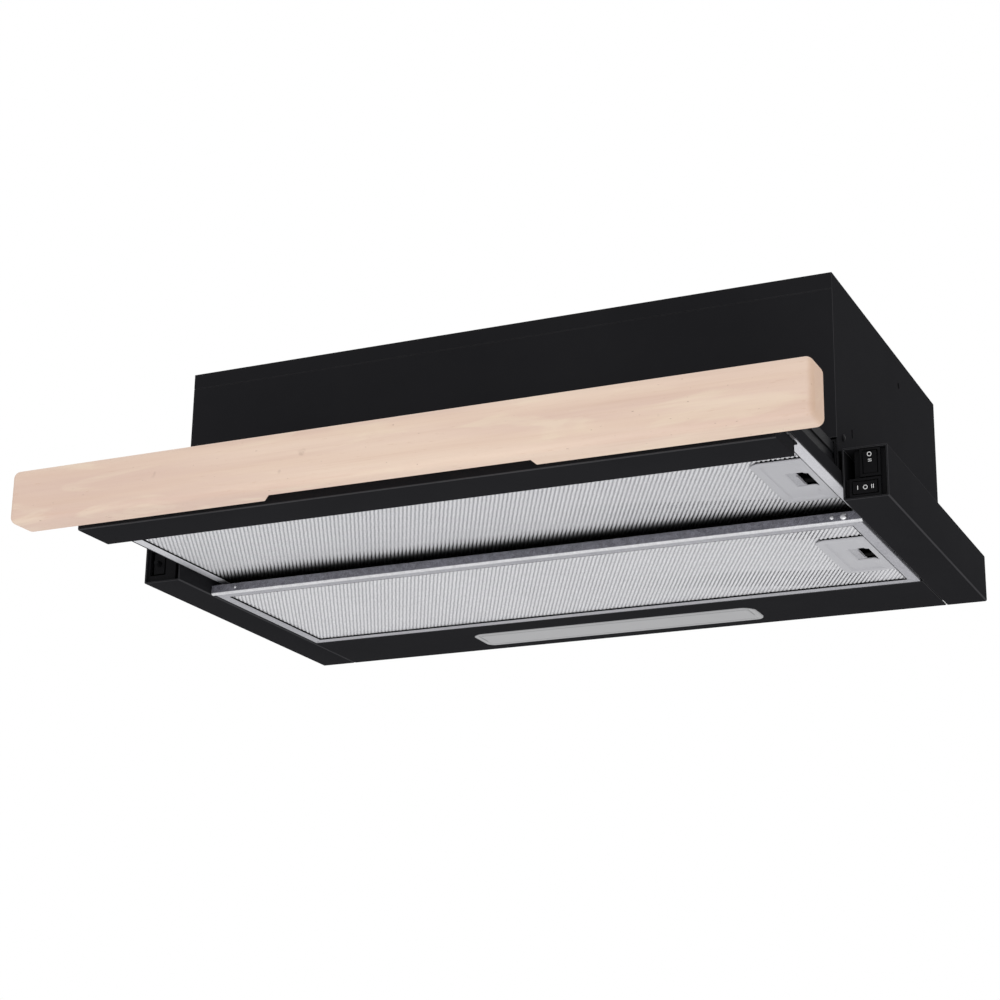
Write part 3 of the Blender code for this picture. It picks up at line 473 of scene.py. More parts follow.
def bentSheet(corners, inner, thickness, places):
    # a bent sheet's two faces carried along X through the given places
    line, other = roundedBends(corners, inner, thickness)
    ring = np.concatenate([line, other[::-1]])
    return np.concatenate([inSpace("X", ring, p) for p in places]), bentFaces(len(places), len(line))


def roundRectangle(low, high, radius, steps=6):
    # a rectangle's outline with a quarter circle at each corner
    low, high = np.asarray(low, float), np.asarray(high, float)
    t = np.radians(np.concatenate([np.linspace(a, a + 90, steps + 1) for a in (0, 90, 180, 270)]))
    signs = np.repeat([[1, 1], [-1, 1], [-1, -1], [1, -1]], steps + 1, axis=0)
    core = (low + high) / 2 + signs * ((high - low) / 2 - radius)
    return core + radius * np.stack([np.cos(t), np.sin(t)], 1)


def turnedPiece(name, profile, place, axis, segments, node):
    # a profile of (radius, height) turned about an axis through a place: one that starts on its axis ends there
    # too, and any other is joined into a ring
    radius, height = np.repeat(np.array(profile)[:, :, None], segments, 2).transpose(1, 0, 2)
    t = np.arange(segments) * math.tau / segments
    a, b = radius * np.cos(t), radius * np.sin(t)
    points = np.stack((a, height, b) if axis == "Y" else (a, b, height), -1).reshape(-1, 3) + np.asarray(place)
    faces = gridFaces(len(profile), segments, joinColumns=True, joinRows=profile[0][0] > 0)
    # all of a pole's corners are one point, so the faces that touch it keep three corners
    poles = [k for k, p in enumerate(profile) if p[0] == 0]
    joined = [[c - c % segments if c // segments in poles else c for c in f] for f in faces.tolist()]
    newPiece(name, points, [list(dict.fromkeys(f)) for f in joined], node)


def softened(node, width, second=None, chosen=None, finish=None):
    # a copy of a CAD node with its flat faces made whole and its edges rounded; black paint takes a lighter
    # finish on its rounded edges, a painted highlight with a little more dust
    mesh = frame["nodes"][node].data.copy()
    worked(mesh, 2e-6, madeWhole)
    mesh.materials.clear()
    mesh.materials.append(finishes[finish or slotOfNode[node]].material)
    edgeHighlighted = slotOfNode[node] == "black_paint"
    if edgeHighlighted:
        mesh.materials.append(finishes["black_edge_highlight"].material)
    if second:
        paintChosen(mesh, second, chosen)
    piece = addObject(node + "_formed", mesh)
    edge = piece.modifiers.new("edges", "BEVEL")
    edge.width = width
    edge.segments = 2
    edge.limit_method = "ANGLE"
    edge.angle_limit = math.radians(40)
    # the bevel faces of black parts take the lighter black as a painted highlight
    if edgeHighlighted:
        edge.material = 1
    piece.modifiers.new("shading", "WEIGHTED_NORMAL").weight = 100
    mounted(piece, bodyOfNode[node], (node,))


def span(node):
    # a node's lowest and highest corners as arrays
    low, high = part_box(node)
    return np.array(low), np.array(high)


# camera and light

cameraLook = {"place": (0.6582, -1.6794, -0.5047), "turn": (108.007, -0.911, 24.743), "lens": 79.45}
lightLook = {"sky": 1.0, "floorDrop": 1.6, "floorSize": 14.0,
             "lamps": [((0.9, -2.7, 0.5), 2.0, 2.0), ((0.1, -0.9, -1.45), 1.6, 9.0)],
             "aim": (0.0, -0.2, 0.0), "floorTones": ((0.80, 0.80, 0.80), (0.84, 0.84, 0.84))}


def makeCamera(look):
    data = bpy.data.cameras.new("camera")
    data.lens = look["lens"]
    camera = addObject("camera", data)
    camera.location = look["place"]
    camera.rotation_euler = Euler([math.radians(a) for a in look["turn"]])
    bpy.context.scene.camera = camera


def makeLight(look):
    world = bpy.data.worlds.new("studio")
    world.use_nodes = True
    world.node_tree.nodes["Background"].inputs["Color"].default_value = (1, 1, 1, 1)
    world.node_tree.nodes["Background"].inputs["Strength"].default_value = look["sky"]
    bpy.context.scene.world = world
    for k, (place, size, power) in enumerate(look["lamps"]):
        data = bpy.data.lights.new(f"softLamp{k}", "AREA")
        data.size = size
        data.energy = power
        lamp = addObject(data.name, data)
        lamp.location = place
        lamp.rotation_euler = (Vector(look["aim"]) - Vector(place)).to_track_quat("-Z", "Y").to_euler()
    half, drop = look["floorSize"] / 2, look["floorDrop"]
    u = np.linspace(-half, half, 9)
    points = np.stack([*np.meshgrid(u, u), np.full((9, 9), -drop)], -1).reshape(-1, 3)
    mesh = bpy.data.meshes.new("floor")
    mesh.from_pydata(points.tolist(), [], gridFaces(9, 9).tolist())
    paint = Finish("paleFloor")
    paint.set("Base Color", paint.blend(paint.noise(1.5), *look["floorTones"]))
    paint.set("Roughness", 0.6 + 0.1 * paint.noise(6.0))
    mesh.materials.append(paint.material)
    addObject("floor", mesh)


makeCamera(cameraLook)
makeLight(lightLook)
bpy.context.scene.view_settings.view_transform = "Standard"
print("camera and light set")


# the black steel body

bodyLook = {"edge": 0.00035, "railBend": 0.0013, "railInnerBend": 0.0005, "railSheet": 0.0012,
            "ledge": 0.0027, "ledgeRoot": 0.002, "mouthBend": 0.0002}


def makeRail(side, look):
    # a square tube: an outer and an inner rounded outline carried back from the mouth, closed at the rear;
    # its inner top edge carries the ledge's lip towards the body
    name = ("left" if side < 0 else "right") + "_rail"
    low, high = span(name)
    inner = 0 if side > 0 else 1
    (low, high)[inner][0] += side * look["ledge"]
    t, front, rear, bend = look["railSheet"], low[1], high[1], look["mouthBend"]
    outside = roundRectangle(low[[0, 2]], high[[0, 2]], look["railBend"])
    inside = roundRectangle(low[[0, 2]] + t, high[[0, 2]] - t, look["railInnerBend"])
    rows = [(0.0, rear), (0.0, front + bend), (0.2, front), (0.8, front), (1.0, front + bend), (1.0, rear - t)]
    tube = np.concatenate([inSpace("Y", outside + (inside - outside) * share, y) for share, y in rows])
    edge, top = (low, high)[inner][0], high[2]
    tip, root = edge - side * look["ledge"], edge + side * look["ledgeRoot"]
    lip = fourCorners((tip, top - t), (root, top - 0.0001))
    points = np.concatenate([tube, inSpace("Y", lip, front + 0.0005), inSpace("Y", lip, rear - 0.0002)])
    faces = tubeFaces(len(rows), len(outside)) + tubeFaces(2, 4, len(tube))
    # the rounded folds take the lighter black as a painted highlight
    newPiece(name + "_tube", points, faces, name, second="black_edge_highlight", chosen=onFolds)


def makeBody(look):
    for side in (-1, 1):
        makeRail(side, look)
    for node in ("front_panel", "top_panel", "rear_panel", "left_side_panel", "right_side_panel",
                 "rear_lamp_panel", "left_arm", "right_arm", "visor_rear_bar", "left_runner_outer",
                 "right_runner_outer", "left_runner_inner", "right_runner_inner"):
        softened(node, look["edge"])


makeBody(bodyLook)
print("steel body made")


# the visor's channel and the wooden bar

channelLook = {"sheet": 0.0012, "bend": 0.0012, "shelf": 0.0066, "depth": 0.039, "step": 0.0105,
               "filterGap": 0.0006, "shelfGap": 0.0003, "barGap": 0.0003, "endGap": 0.0002}


def makeChannel(look):
    # the folded channel: from the shelf down the rear wall, along the bottom, up the step and up behind the bar
    low, high = span("visor_channel")
    barHigh, filterLow = span("wood_bar")[1], span("visor_filter_frame")[0]
    t = look["sheet"]
    rear = filterLow[1] - look["filterGap"]
    front = rear - look["depth"]
    step = low[2] + look["step"]
    shelf = filterLow[2] - look["shelfGap"] - t
    face = barHigh[1] + look["barGap"]
    corners = [(rear + look["shelf"], shelf), (rear, shelf), (rear, low[2]), (front, low[2]),
               (front, step), (face, step), (face, high[2])]
    points, faces = bentSheet(corners, look["bend"], -t, np.linspace(low[0], high[0], 25))
    inset = look["bend"] * 0.6
    plate = fourCorners((front + inset, low[2] + inset), (rear - inset, step + t / 2))
    for end, inward in ((low[0], 1), (high[0], -1)):
        # a plate closes each end of the trough
        faces += tubeFaces(2, 4, len(points))
        points = np.concatenate([points, inSpace("X", plate, end + inward * look["endGap"]),
                                 inSpace("X", plate, end + inward * t)])
    # the rounded folds take the lighter black as a painted highlight
    newPiece("visor_channel_folded", points, faces, "visor_channel", second="black_edge_highlight", chosen=onFolds)


barLook = {"radius": 0.0055, "pullLeft": -0.1035, "pullRight": 0.105, "pullSlant": 0.013, "pullDepth": 0.0145,
           "pullHeight": 0.012, "cornerSteps": 7, "lengthSteps": 20}


def makeBar(look):
    # a board with every edge rounded: each section is a rounded rectangle, shrunk at the two ends along a
    # quarter circle; between the pull's ends the lower rear corner steps in, and its left wall is slanted
    low, high = span("wood_bar")
    r, steps = look["radius"], look["cornerSteps"]
    left, right, slant = look["pullLeft"], look["pullRight"], look["pullSlant"]
    pullFront, pullTop = high[1] - look["pullDepth"], low[2] + look["pullHeight"]

    def arc(y, z, radius, start, count):
        # a quarter circle about (y, z)
        t = np.radians(np.linspace(start, start + 90, count))[:, None]
        return np.array([[y, z]]) + radius * np.concatenate([np.cos(t), np.sin(t)], 1)

    def section(shrink, notched):
        # going round from the pull's front edge: lower rear corner, upper rear, upper front, lower front
        a = r - shrink
        yHigh, yLow, zHigh, zLow = high[1] - shrink, low[1] + shrink, high[2] - shrink, low[2] + shrink
        if notched:
            places = np.array([(pullFront, zLow), (pullFront, pullTop), (yHigh, pullTop)])
            k = np.linspace(0, 1, steps)[:, None]
            lowerRear = np.concatenate([p * (1 - k) + q * k for p, q in zip(places[:-1], places[1:])])
        else:
            lowerRear = np.concatenate([[[pullFront, zLow]], arc(yHigh - a, zLow + a, a, -90, 2 * steps - 2),
                                        [[yHigh, pullTop]]])
        return np.concatenate([lowerRear, arc(yHigh - a, zHigh - a, a, 0, steps),
                               arc(yLow + a, zHigh - a, a, 90, steps), arc(yLow + a, zLow + a, a, 180, steps)])

    def plain(start, end, notched=False):
        # full sections between two places, leaving both out
        return [(x, 0.0, notched, False) for x in np.linspace(start, end, look["lengthSteps"] + 2)[1:-1]]

    turn = np.linspace(math.pi / 2, 0, steps)
    rounded = list(zip(r * (1 - np.sin(turn)), np.minimum(r * (1 - np.cos(turn)), r - 1e-5)))
    middle = left + slant / 2
    sections = [(low[0] + x, shrink, False, False) for x, shrink in rounded]
    sections += plain(low[0] + r, middle - slant)
    sections += [(middle, 0.0, False, True), (middle, 0.0, True, True)]
    sections += plain(middle + slant, right, True)
    sections += [(right, 0.0, True, False), (right, 0.0, False, False)]
    sections += plain(right, high[0] - r)
    sections += [(high[0] - x, shrink, False, False) for x, shrink in rounded[::-1]]
    rings = []
    for x, shrink, notched, slanted in sections:
        flat = section(shrink, notched)
        along = np.full(len(flat), x)
        if slanted:
            # the wall leans to the left towards the rear
            back = np.clip(flat[:, 0] - pullFront, 0, look["pullDepth"]) / look["pullDepth"]
            along = along + slant * (0.5 - back)
        rings.append(inSpace("X", flat, along))
    faces = tubeFaces(len(rings), len(rings[0]))
    newPiece("wood_bar_sanded", np.concatenate(rings), faces, "wood_bar", sharp=50.0)


makeChannel(channelLook)
makeBar(barLook)
print("visor channel and bar made")


# grease filters

# three of these sizes give the width and heights of the black strip of painted shadow inside the lip
filterLook = {"sheet": 0.0008, "bend": 0.0006, "border": 0.0082, "lip": 0.0009, "mitreGap": 0.00012,
              "topBorder": 0.0082, "painted_shadow": 0.0004, "paintedShadowTop": 0.00105, "paintedShadowLow": 0.0001}
meshLook = {"pitch": 0.0033, "slant": 0.518, "width": 0.00185, "height": 0.00072, "crossPitch": 0.0024,
            "crossSlope": 0.30, "crossWidth": 0.0010, "crossHeight": 0.0003, "crossLevel": 0.45,
            "ripple": 0.0001, "rippleLength": 0.0048, "ribSteps": 30, "crossSteps": 3, "shortest": 0.0025,
            "gauze": 0.00015, "gauzeRows": 8, "gauzeColumns": 12, "underPlate": 0.0045, "plateGap": 0.0006}
plateSizes = {"rim": 0.0062, "slope": 0.0012, "raise": 0.0004, "recess": 0.0005, "radius": 0.008,
              "thickness": 0.0006, "levels": 26, "around": 72, "holeLip": 0.0005, "holeSlope": 0.0012,
              "holeGap": 0.0045, "holeSize": (0.0155, 0.0285), "brim": 0.0003, "brimWidth": 0.0008,
              "sliderShown": 0.0121}


def makeFilterFrame(name, look):
    # four mitred members of one folded section; each is the section carried between two 45-degree cuts
    low, high = span(name + "_frame")
    border, gap, height = look["border"], look["mitreGap"], high[2] - low[2]
    corners = [(border, look["lip"]), (border, 0.0), (0.0, 0.0), (0.0, height), (look["topBorder"], height)]
    line, other = roundedBends(corners, look["bend"], -look["sheet"])
    inward, up = np.concatenate([line, other[::-1]]).T
    points, faces = [], []
    for side in range(4):
        # front and rear members run along X, the others along Y
        faces += bentFaces(2, len(line), sum(map(len, points)))
        for end in (0, 1):
            if side % 2 == 0:
                x = low[0] + inward + gap if end == 0 else high[0] - inward - gap
                y = low[1] + inward if side == 0 else high[1] - inward
            else:
                y = low[1] + inward + gap if end == 0 else high[1] - inward - gap
                x = high[0] - inward if side == 1 else low[0] + inward
            points.append(np.stack([x, y, low[2] + up], 1))
    newPiece(name + "_frame_folded", np.concatenate(points), faces, name + "_frame",
             "filter_aluminium" if name == "fixed_filter" else "visor_frame")


def strandBars(starts, ends, level, width, height, steps, ripple=0.0, rippleLength=1.0):
    # bars between flat start and end points: a flattened half-round section carried along each, with a ripple
    k = np.linspace(0, 1, steps)[None, :, None]
    centre = starts[:, None] * (1 - k) + ends[:, None] * k
    centre = np.concatenate([centre, np.full_like(centre[..., :1], level)], -1)
    length = np.linalg.norm(ends - starts, axis=1)[:, None]
    along = (ends - starts) / length
    across = np.stack([-along[:, 1], along[:, 0], np.zeros(len(along))], 1)[:, None, None]
    profile = np.array([[-0.5, 0.55], [-0.32, 0.0], [0.32, 0.0], [0.5, 0.55], [0.0, 1.0]])
    wander = ripple * np.sin(length * k[..., 0] / rippleLength * math.tau)[..., None, None]
    aside = profile[:, 0][None, None, :, None] * width
    up = (profile[:, 1] * height)[None, None, :, None] * np.array([0, 0, 1.0])
    return (centre[:, :, None] + across * (aside + wander) + up).reshape(-1, 3)


def barFaces(count, steps, sides=5):
    # the faces of many bars, each closed round its section and at both ends
    one = gridFaces(steps, sides, joinColumns=True)
    starts = (np.arange(count) * steps * sides)[:, None]
    cap = starts + np.arange(sides)
    sidesFaces = (one[None] + starts[..., None]).reshape(-1, 4).tolist()
    return sidesFaces + cap.tolist() + (cap + (steps - 1) * sides).tolist()


def clippedLines(origins, direction, areas, shortest):
    # each line through an origin is cut to every rectangle (x0, y0, x1, y1); the short ones are dropped
    starts, ends = [], []
    for x0, y0, x1, y1 in areas:
        corners = np.array([[x0, y0], [x1, y1]])
        crossings = np.sort((corners[:, None] - origins) / direction, 0)
        near, far = crossings[0].max(1), crossings[1].min(1)
        keep = far - near > shortest
        starts.append(origins[keep] + direction * near[keep, None])
        ends.append(origins[keep] + direction * far[keep, None])
    return np.concatenate(starts), np.concatenate(ends)


def gauzeSheet(areas, level, look):
    # a thin closed sheet over each rectangle: two grids of points, joined round their rim
    rows, columns = look["gauzeRows"], look["gauzeColumns"]
    total = rows * columns
    across, along = np.arange(columns), columns * np.arange(rows - 2)
    rim = np.concatenate([across, 2 * columns - 1 + along, total - 1 - across, total - 2 * columns - along])
    wall = np.stack([rim, np.roll(rim, -1), np.roll(rim, -1) + total, rim + total], 1)
    one = np.concatenate([gridFaces(rows, columns), gridFaces(rows, columns, start=total), wall])
    points = []
    for x0, y0, x1, y1 in areas:
        u, v = np.meshgrid(np.linspace(x0, x1, columns), np.linspace(y0, y1, rows))
        for z in (level, level + look["gauze"]):
            points.append(np.stack([u, v, np.full_like(u, z)], -1).reshape(-1, 3))
    return np.concatenate(points), np.concatenate([one + 2 * total * k for k in range(len(areas))])


def makeMesh(name, look):
    # expanded metal in three layers: slanted ribs, the strands that cross behind them, and a fine gauze
    low, high = span(name + "_mesh")
    plateLow, plateHigh = span(name + "_handle")
    # the mesh runs a little way under the plate, but not under its front edge
    hidden = look["underPlate"]
    notch = (plateLow[0] + hidden, plateLow[1] - look["plateGap"], high[0], plateHigh[1] - hidden)
    areas = [(low[0], low[1], notch[0], high[1]), (notch[0], low[1], high[0], notch[1]),
             (notch[0], notch[3], high[0], high[1])]
    reach = look["slant"] * (high[1] - low[1]) / 2
    x = np.arange(low[0] - reach, high[0] + reach, look["pitch"])
    origins = np.stack([x, np.full_like(x, (low[1] + high[1]) / 2)], 1)
    ribLines = clippedLines(origins, np.array([-look["slant"], 1.0]), areas, look["shortest"])
    ribs = strandBars(*ribLines, low[2], look["width"], look["height"], look["ribSteps"], look["ripple"],
                      look["rippleLength"])
    y = np.arange(low[1] - 0.2, high[1] + 0.2, look["crossPitch"])
    origins = np.stack([np.zeros_like(y), y], 1)
    crossLines = clippedLines(origins, np.array([1.0, look["crossSlope"]]), areas, look["shortest"])
    cross = strandBars(*crossLines, low[2] + look["height"] * look["crossLevel"], look["crossWidth"],
                       look["crossHeight"], look["crossSteps"])
    gauze, gauzeFaces = gauzeSheet(areas, high[2] - look["gauze"], look)
    which, node = name.split("_")[0], name + "_mesh"
    ribFaces = barFaces(len(ribLines[0]), look["ribSteps"])
    crossFaces = barFaces(len(crossLines[0]), look["crossSteps"])
    newPiece(node + "_ribs", ribs, ribFaces, node, which + "_ribs", sharp=60.0)
    newPiece(node + "_cross", cross, crossFaces, node, which + "_cross", standsIn=False, sharp=60.0)
    newPiece(name + "_gauze", gauze, gauzeFaces, node, which + "_gauze", standsIn=False)


def makePaintedShadow(name, look):
    # a thin black strip inside the frame's lip, along every side that the handle plate leaves free: painted
    # shadow for the dark gap between the lip and the mesh
    low, high = span(name + "_frame")
    plateLow, plateHigh = span(name + "_handle")
    b, w = look["border"], look["painted_shadow"]
    x0, y0, x1, y1 = low[0] + b, low[1] + b, high[0] - b, high[1] - b
    bars = [((x0, y0), (x1, y0 + w)), ((x0, y1 - w), (x1, y1)), ((x0, y0 + w), (x0 + w, y1 - w)),
            ((x1 - w, y0 + w), (x1, plateLow[1] - w)), ((x1 - w, plateHigh[1] + w), (x1, y1 - w))]
    points = [np.insert(fourCorners(*bar), 2, low[2] + look[level], 1)
              for bar in bars for level in ("paintedShadowLow", "paintedShadowTop")]
    faces = [f for k in range(len(bars)) for f in tubeFaces(2, 4, 8 * k)]
    newPiece(name + "_painted_shadow", np.concatenate(points), faces, name + "_frame", "painted_shadow", "black_plastic", False)


def smoothStep(v):
    # nought below nought, one above one, and a smooth rise between
    v = np.clip(v, 0, 1)
    return v ** 2 * (3 - 2 * v)


def insideBy(places, low, high):
    # how far flat places lie inside a rectangle, below nought outside it
    return np.minimum(places - low, high - places).min(-1)


def turnsTo(centre, places):
    # the angle from a centre to each flat place
    x, y = (places - centre).T
    return np.arctan2(y, x)


def reachTo(shape, centre, turns):
    # how far from the centre each direction meets a closed outline
    step = (np.roll(shape, -1, 0) - shape)[None]
    away = (shape - centre)[None]
    d = np.stack([np.cos(turns), np.sin(turns)], 1)[:, None]
    bottom = d[..., 0] * step[..., 1] - d[..., 1] * step[..., 0]
    with np.errstate(divide="ignore", invalid="ignore"):
        reach = (away[..., 0] * step[..., 1] - away[..., 1] * step[..., 0]) / bottom
        share = (away[..., 0] * d[..., 1] - away[..., 1] * d[..., 0]) / bottom
    good = (share > -1e-9) & (share < 1 + 1e-9) & (reach > 0)
    return np.where(good, reach, np.inf).min(1)


def makePlate(name, look):
    # a pressed plate: rings between the finger hole and the outline, sunk inside a raised rim, closed behind
    low, high = span(name + "_handle")
    middle, right, size = (low[1] + high[1]) / 2, high[0], look["holeSize"]
    holeHigh = np.array([right - look["holeGap"], middle + size[1] / 2])
    holeLow = holeHigh - size
    centre = (holeLow + holeHigh) / 2
    outline = roundRectangle(low[:2], high[:2], look["radius"], 8)
    # the corners on the right are square
    outline = outline[outline[:, 0] <= right - look["radius"]]
    outline = np.concatenate([outline, [[right, low[1]], [right, high[1]]]])
    outline = outline[np.argsort(turnsTo(centre, outline))]
    hole = fourCorners(holeLow, holeHigh)
    even = np.linspace(-math.pi, math.pi, look["around"], endpoint=False)
    t = np.sort(np.concatenate([even, turnsTo(centre, outline), turnsTo(centre, hole)]))
    t = t[np.concatenate([[True], np.diff(t) > 1e-4])]
    nearest, farthest = reachTo(hole, centre, t), reachTo(outline, centre, t)
    k = np.linspace(0, 1, look["levels"])[:, None]
    radius = nearest + (farthest - nearest) * k
    flat = centre + radius[..., None] * np.stack([np.cos(t), np.sin(t)], -1)[None]
    edge = insideBy(flat, low[:2], high[:2])
    sink = smoothStep((edge - look["rim"]) / look["slope"])
    lip = 1 - smoothStep(-insideBy(flat, holeLow, holeHigh) / look["holeSlope"])
    brim = 1 - smoothStep(edge / look["brimWidth"])
    below = (low[2] - look["raise"] + sink * (look["raise"] + look["recess"]) + lip * look["holeLip"]
             + brim * look["brim"])
    points, faces = twoSkins(flat, below, below + look["thickness"], (0, look["levels"] - 1))
    newPiece(name + "_handle_pressed", points, faces, name + "_handle")
    tongue = span(name + "_latch")[0][0] + look["sliderShown"]

    def inPaintedShadow(centres, normals):
        # the slider's tongue, past its near end, takes the black finish: painted shadow inside the hole
        return centres[:, 0] > tongue

    softened(name + "_latch", 0.0002, "painted_shadow", inPaintedShadow, "slider")


for filterName in ("fixed_filter", "visor_filter"):
    makeFilterFrame(filterName, filterLook)
    makePaintedShadow(filterName, filterLook)
    makeMesh(filterName, meshLook)
    makePlate(filterName, plateSizes)
print("grease filters made")


# cross strip, rivets and screws

stripLook = {"sheet": 0.0012, "bend": 0.0006}
rivetLook = {"rise": 0.5, "shank": 0.55, "length": 0.0026, "under": 0.00005, "sunk": 0.0002, "segments": 32}


def facesDown(centres, normals):
    return normals[:, 2] < -0.3


def makeStrip(look):
    # an angle strip: its tall face in front, its narrow lip turned back below; the faces that look down take a
    # lighter copy of the zinc as painted light
    low, high = span("cross_strip")
    corners = [(low[1], high[2]), (low[1], low[2]), (high[1], low[2])]
    points, faces = bentSheet(corners, look["bend"], look["sheet"], np.linspace(low[0], high[0], 13))
    newPiece("cross_strip_bent", points, faces, "cross_strip", second="strip_lip_lit", chosen=facesDown)


def makeRivets(look):
    # a rivet's outline: dome, flat underside, shank; the dome stands out towards the front
    face = span("cross_strip")[0][1]
    for node in ("strip_rivet_left", "strip_rivet_right_large", "strip_rivet_right_small"):
        low, high = span(node)
        centre, head = (low + high) / 2, (high[0] - low[0]) / 2
        rise, shank = head * look["rise"], head * look["shank"]
        dome = [(head * math.cos(a), -rise * math.sin(a)) for a in np.linspace(math.pi / 2, 0, 9)[1:]]
        profile = [(0.0, -rise)] + dome + [(head, look["under"]), (shank, look["under"]),
                                           (shank, look["length"]), (0.0, look["length"])]
        turnedPiece(node + "_dome", profile, (centre[0], face - look["sunk"], centre[2]), "Y", look["segments"],
                    node)
    for node in ("left_side_screw", "right_side_screw", "bar_screw_1", "bar_screw_2", "bar_screw_3",
                 "bar_screw_4"):
        softened(node, 0.00015)


makeStrip(stripLook)
makeRivets(rivetLook)
print("strip and fixings made")


# lamp

lensSizes = {"radius": 0.0100, "flange": 0.003, "rib": 0.0004, "ribAt": 0.0052, "ribWidth": 0.0007,
             "levels": 30, "brim": 0.0008, "brimWidth": 0.0012, "topGap": 0.0003, "lineEnd": 0.004}


def makeLens(look):
    # the lens face: rings from a middle line out to the rounded outline; a ridge runs inside its border
    low, high = span("lamp_lens")
    lensLow, lensHigh = low[:2] + look["flange"], high[:2] - look["flange"]
    outline = roundRectangle(lensLow, lensHigh, look["radius"], 10)
    middle = (lensLow + lensHigh) / 2
    spineX = np.clip(outline[:, 0], lensLow[0] + look["radius"], lensHigh[0] - look["radius"])
    spine = np.stack([spineX, np.full(len(outline), middle[1])], 1)
    k = (1 - (1 - np.linspace(0, 1, look["levels"])) ** 1.5)[:, None, None]
    flat = spine * (1 - k) + outline * k
    inside = insideBy(flat, lensLow, lensHigh)
    ridge = np.exp(-((inside - look["ribAt"]) / look["ribWidth"]) ** 2)
    brim = np.clip(inside / look["brimWidth"], 0, 1)
    face = low[2] + look["brim"] * (1 - brim * (2 - brim)) + look["rib"] * ridge
    top = np.full_like(face, high[2] - look["topGap"])

    def onShadedRidge(centres, normals):
        # painted shade: the ridge takes a darker finish along its front half, on the lens's lower side
        away = abs(insideBy(centres[:, :2], lensLow, lensHigh) - look["ribAt"])
        inFront = centres[:, 1] < middle[1] + look["lineEnd"]
        return (away < look["ribWidth"] * 0.75) & inFront & (centres[:, 2] < low[2] + 0.0010)

    newPiece("lamp_lens_frosted", *twoSkins(flat, face, top, (look["levels"] - 1,)), "lamp_lens",
             second="lens_ridge_shade", chosen=onShadedRidge)


makeLens(lensSizes)
for lampNode in ("lamp_housing", "terminal_box"):
    softened(lampNode, 0.0005)
print("lamp made")


# switches and their marks

markSizes = {"line": 0.00042, "thickness": 0.00012, "ring": 0.00135, "lift": 0.00003, "valleyLift": 0.0001,
             "lightRingAt": 0.72, "lightBarsAt": (0.10, 0.26), "lightBar": 0.0024, "speedBar": 0.0028,
             "speedBarsAt": {"one": -0.0052, "two_left": 0.0046, "two_right": 0.0058}}


def nodePoints(node):
    return np.array([v.co for v in frame["nodes"][node].data.vertices], float)


def outwardOf(first, second):
    # the direction square to two others that looks towards the front
    normal = np.cross(first, second)
    return normal * -np.sign(normal[1])


def ringMark(name, node, centre, normal, sideways, upward, look):
    t = np.arange(28) * math.tau / 28
    circle = np.cos(t)[:, None] * sideways + np.sin(t)[:, None] * upward
    r, w, rise = look["ring"], look["line"] / 2, normal * look["thickness"]
    rows = [centre + circle * (r - w), centre + circle * (r - w) + rise,
            centre + circle * (r + w) + rise, centre + circle * (r + w)]
    faces = gridFaces(4, 28, joinColumns=True, joinRows=True)
    newPiece(name, np.concatenate(rows), faces, node, "marks", "white_plastic", False)


def barMark(name, node, centre, normal, longWay, crossWay, length, look):
    base = np.array([centre + longWay * a * length / 2 + crossWay * b * look["line"] / 2
                     for a, b in fourCorners((-1, -1), (1, 1))])
    points = np.concatenate([base, base + normal * look["thickness"]])
    newPiece(name, points, tubeFaces(2, 4), node, "marks", "white_plastic", False)


def makeLightMarks(look):
    # the light rocker has two faces that meet in a shallow valley; a ring and two bars lie on the upper one
    node = "light_switch_rocker"
    points = nodePoints(node)
    low, high = points.min(0), points.max(0)
    top = points[points[:, 2] > high[2] - 0.0006]
    valley = points[abs(points[:, 2] - (low[2] + high[2]) / 2) < 0.0012]
    top, valley = [group[group[:, 1].argmin()] for group in (top, valley)]
    across, upward = np.array([1.0, 0, 0]), (top - valley) * (0, 1, 1)
    length = np.linalg.norm(upward)
    upward /= length
    normal = outwardOf(upward, across)
    base = np.array([(low[0] + high[0]) / 2, valley[1], valley[2]]) + normal * look["lift"]
    ringMark("light_mark_ring", node, base + upward * length * look["lightRingAt"], normal, across,
             upward, look)
    for k, share in enumerate(look["lightBarsAt"]):
        barMark(f"light_mark_bar_{k + 1}", node, base + upward * length * share, normal, across,
                upward, look["lightBar"], look)


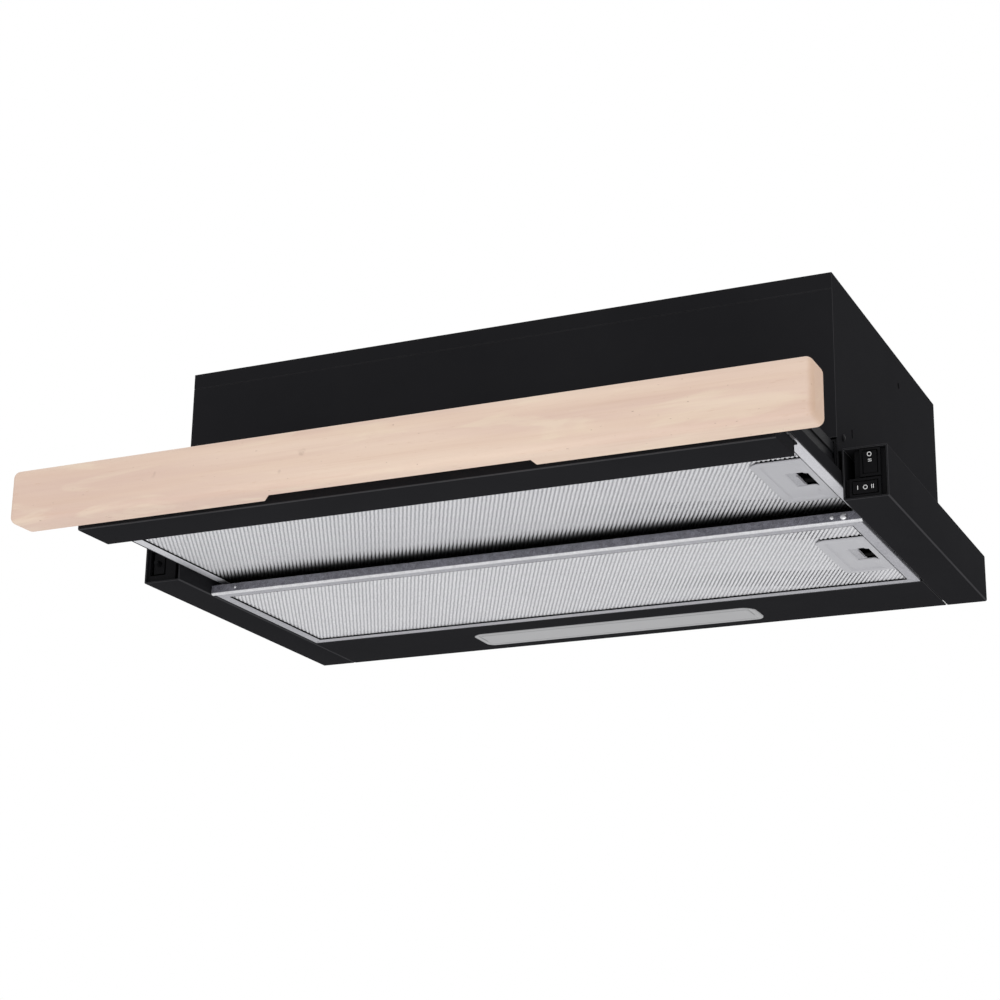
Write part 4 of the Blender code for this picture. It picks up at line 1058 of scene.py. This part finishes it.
def makeSpeedMarks(look):
    # the speed rocker lies on its side, with a mark for each of its three places
    node = "speed_switch_rocker"
    points = nodePoints(node)
    low, high = points.min(0), points.max(0)
    middle, reach, up = (low + high) / 2, (high[0] - low[0]) / 2, np.array([0, 0, 1.0])
    end = points[points[:, 0] > high[0] - 0.0006][:, 1].min()
    valley = points[abs(points[:, 0] - middle[0]) < 0.0006][:, 1].min()
    lean = (end - valley) / reach

    def onFace(offset):
        # a place on the rocker, the way out of its face there and the way along it
        tangent = np.array([1.0, np.sign(offset) * lean, 0])
        tangent /= np.linalg.norm(tangent)
        outward = outwardOf(up, tangent)
        place = np.array([middle[0] + offset, valley + lean * abs(offset), middle[2]])
        return place + outward * look["lift"], outward, tangent

    place, outward, tangent = onFace(0.0)
    ringMark("speed_mark_ring", node, place - (0, look["valleyLift"], 0), outward, tangent, up, look)
    for name, offset in look["speedBarsAt"].items():
        place, outward, tangent = onFace(offset)
        barMark("speed_mark_" + name, node, place, outward, up, tangent, look["speedBar"], look)


for switchNode in ("light_switch_body", "speed_switch_body", "switch_frame", "microswitch_holder",
                   "light_switch_rocker", "speed_switch_rocker", "microswitch_body"):
    softened(switchNode, 0.0003)
makeLightMarks(markSizes)
makeSpeedMarks(markSizes)
print("switches made")


# duct collar, and the pieces that keep their CAD shape

collarLook = {"bead": 0.0009, "beadAt": 0.62, "flange": 0.008, "flangeSheet": 0.0016, "wall": 0.0015,
              "segments": 128}


def makeCollar(look):
    # the collar: a flange, a wall with one bead round it, and a rounded rim
    low, high = span("outlet_collar")
    centre, reach, h = (low + high) / 2, (high[0] - low[0]) / 2, high[2] - low[2]
    outer, sheet, bead = reach - look["flange"], look["flangeSheet"], h * look["beadAt"]
    inner = outer - look["wall"]
    swell = [(outer - 0.0002 - look["bead"] * math.sin(a) * 0.5, bead - 0.002 * math.cos(a))
             for a in np.linspace(0, math.pi, 7)]
    profile = [(inner, 0.0), (reach - 0.0004, 0.0), (reach, 0.0004), (reach, sheet - 0.0004),
               (reach - 0.0004, sheet), (outer + 0.0008, sheet), (outer, sheet + 0.0008), (outer, bead - 0.003),
               *swell, (outer, bead + 0.003), (outer, h - 0.0006), (outer - 0.0004, h), (inner + 0.0004, h),
               (inner, h - 0.0006)]
    turnedPiece("outlet_collar_ribbed", profile, (centre[0], centre[1], low[2]), "Z", look["segments"],
                "outlet_collar")


makeCollar(collarLook)
for blowerNode in ("motor_bracket", "scroll_housing"):
    softened(blowerNode, 0.0004)


def dressNodes():
    # every CAD node that is still shown takes its slot's finish
    for name, node in frame["nodes"].items():
        if node.hide_render:
            continue
        material = finishes[slotOfNode[name]].material
        if node.material_slots:
            for slot in node.material_slots:
                slot.material = material
        else:
            node.data.materials.append(material)


dressNodes()
print("CAD nodes dressed")
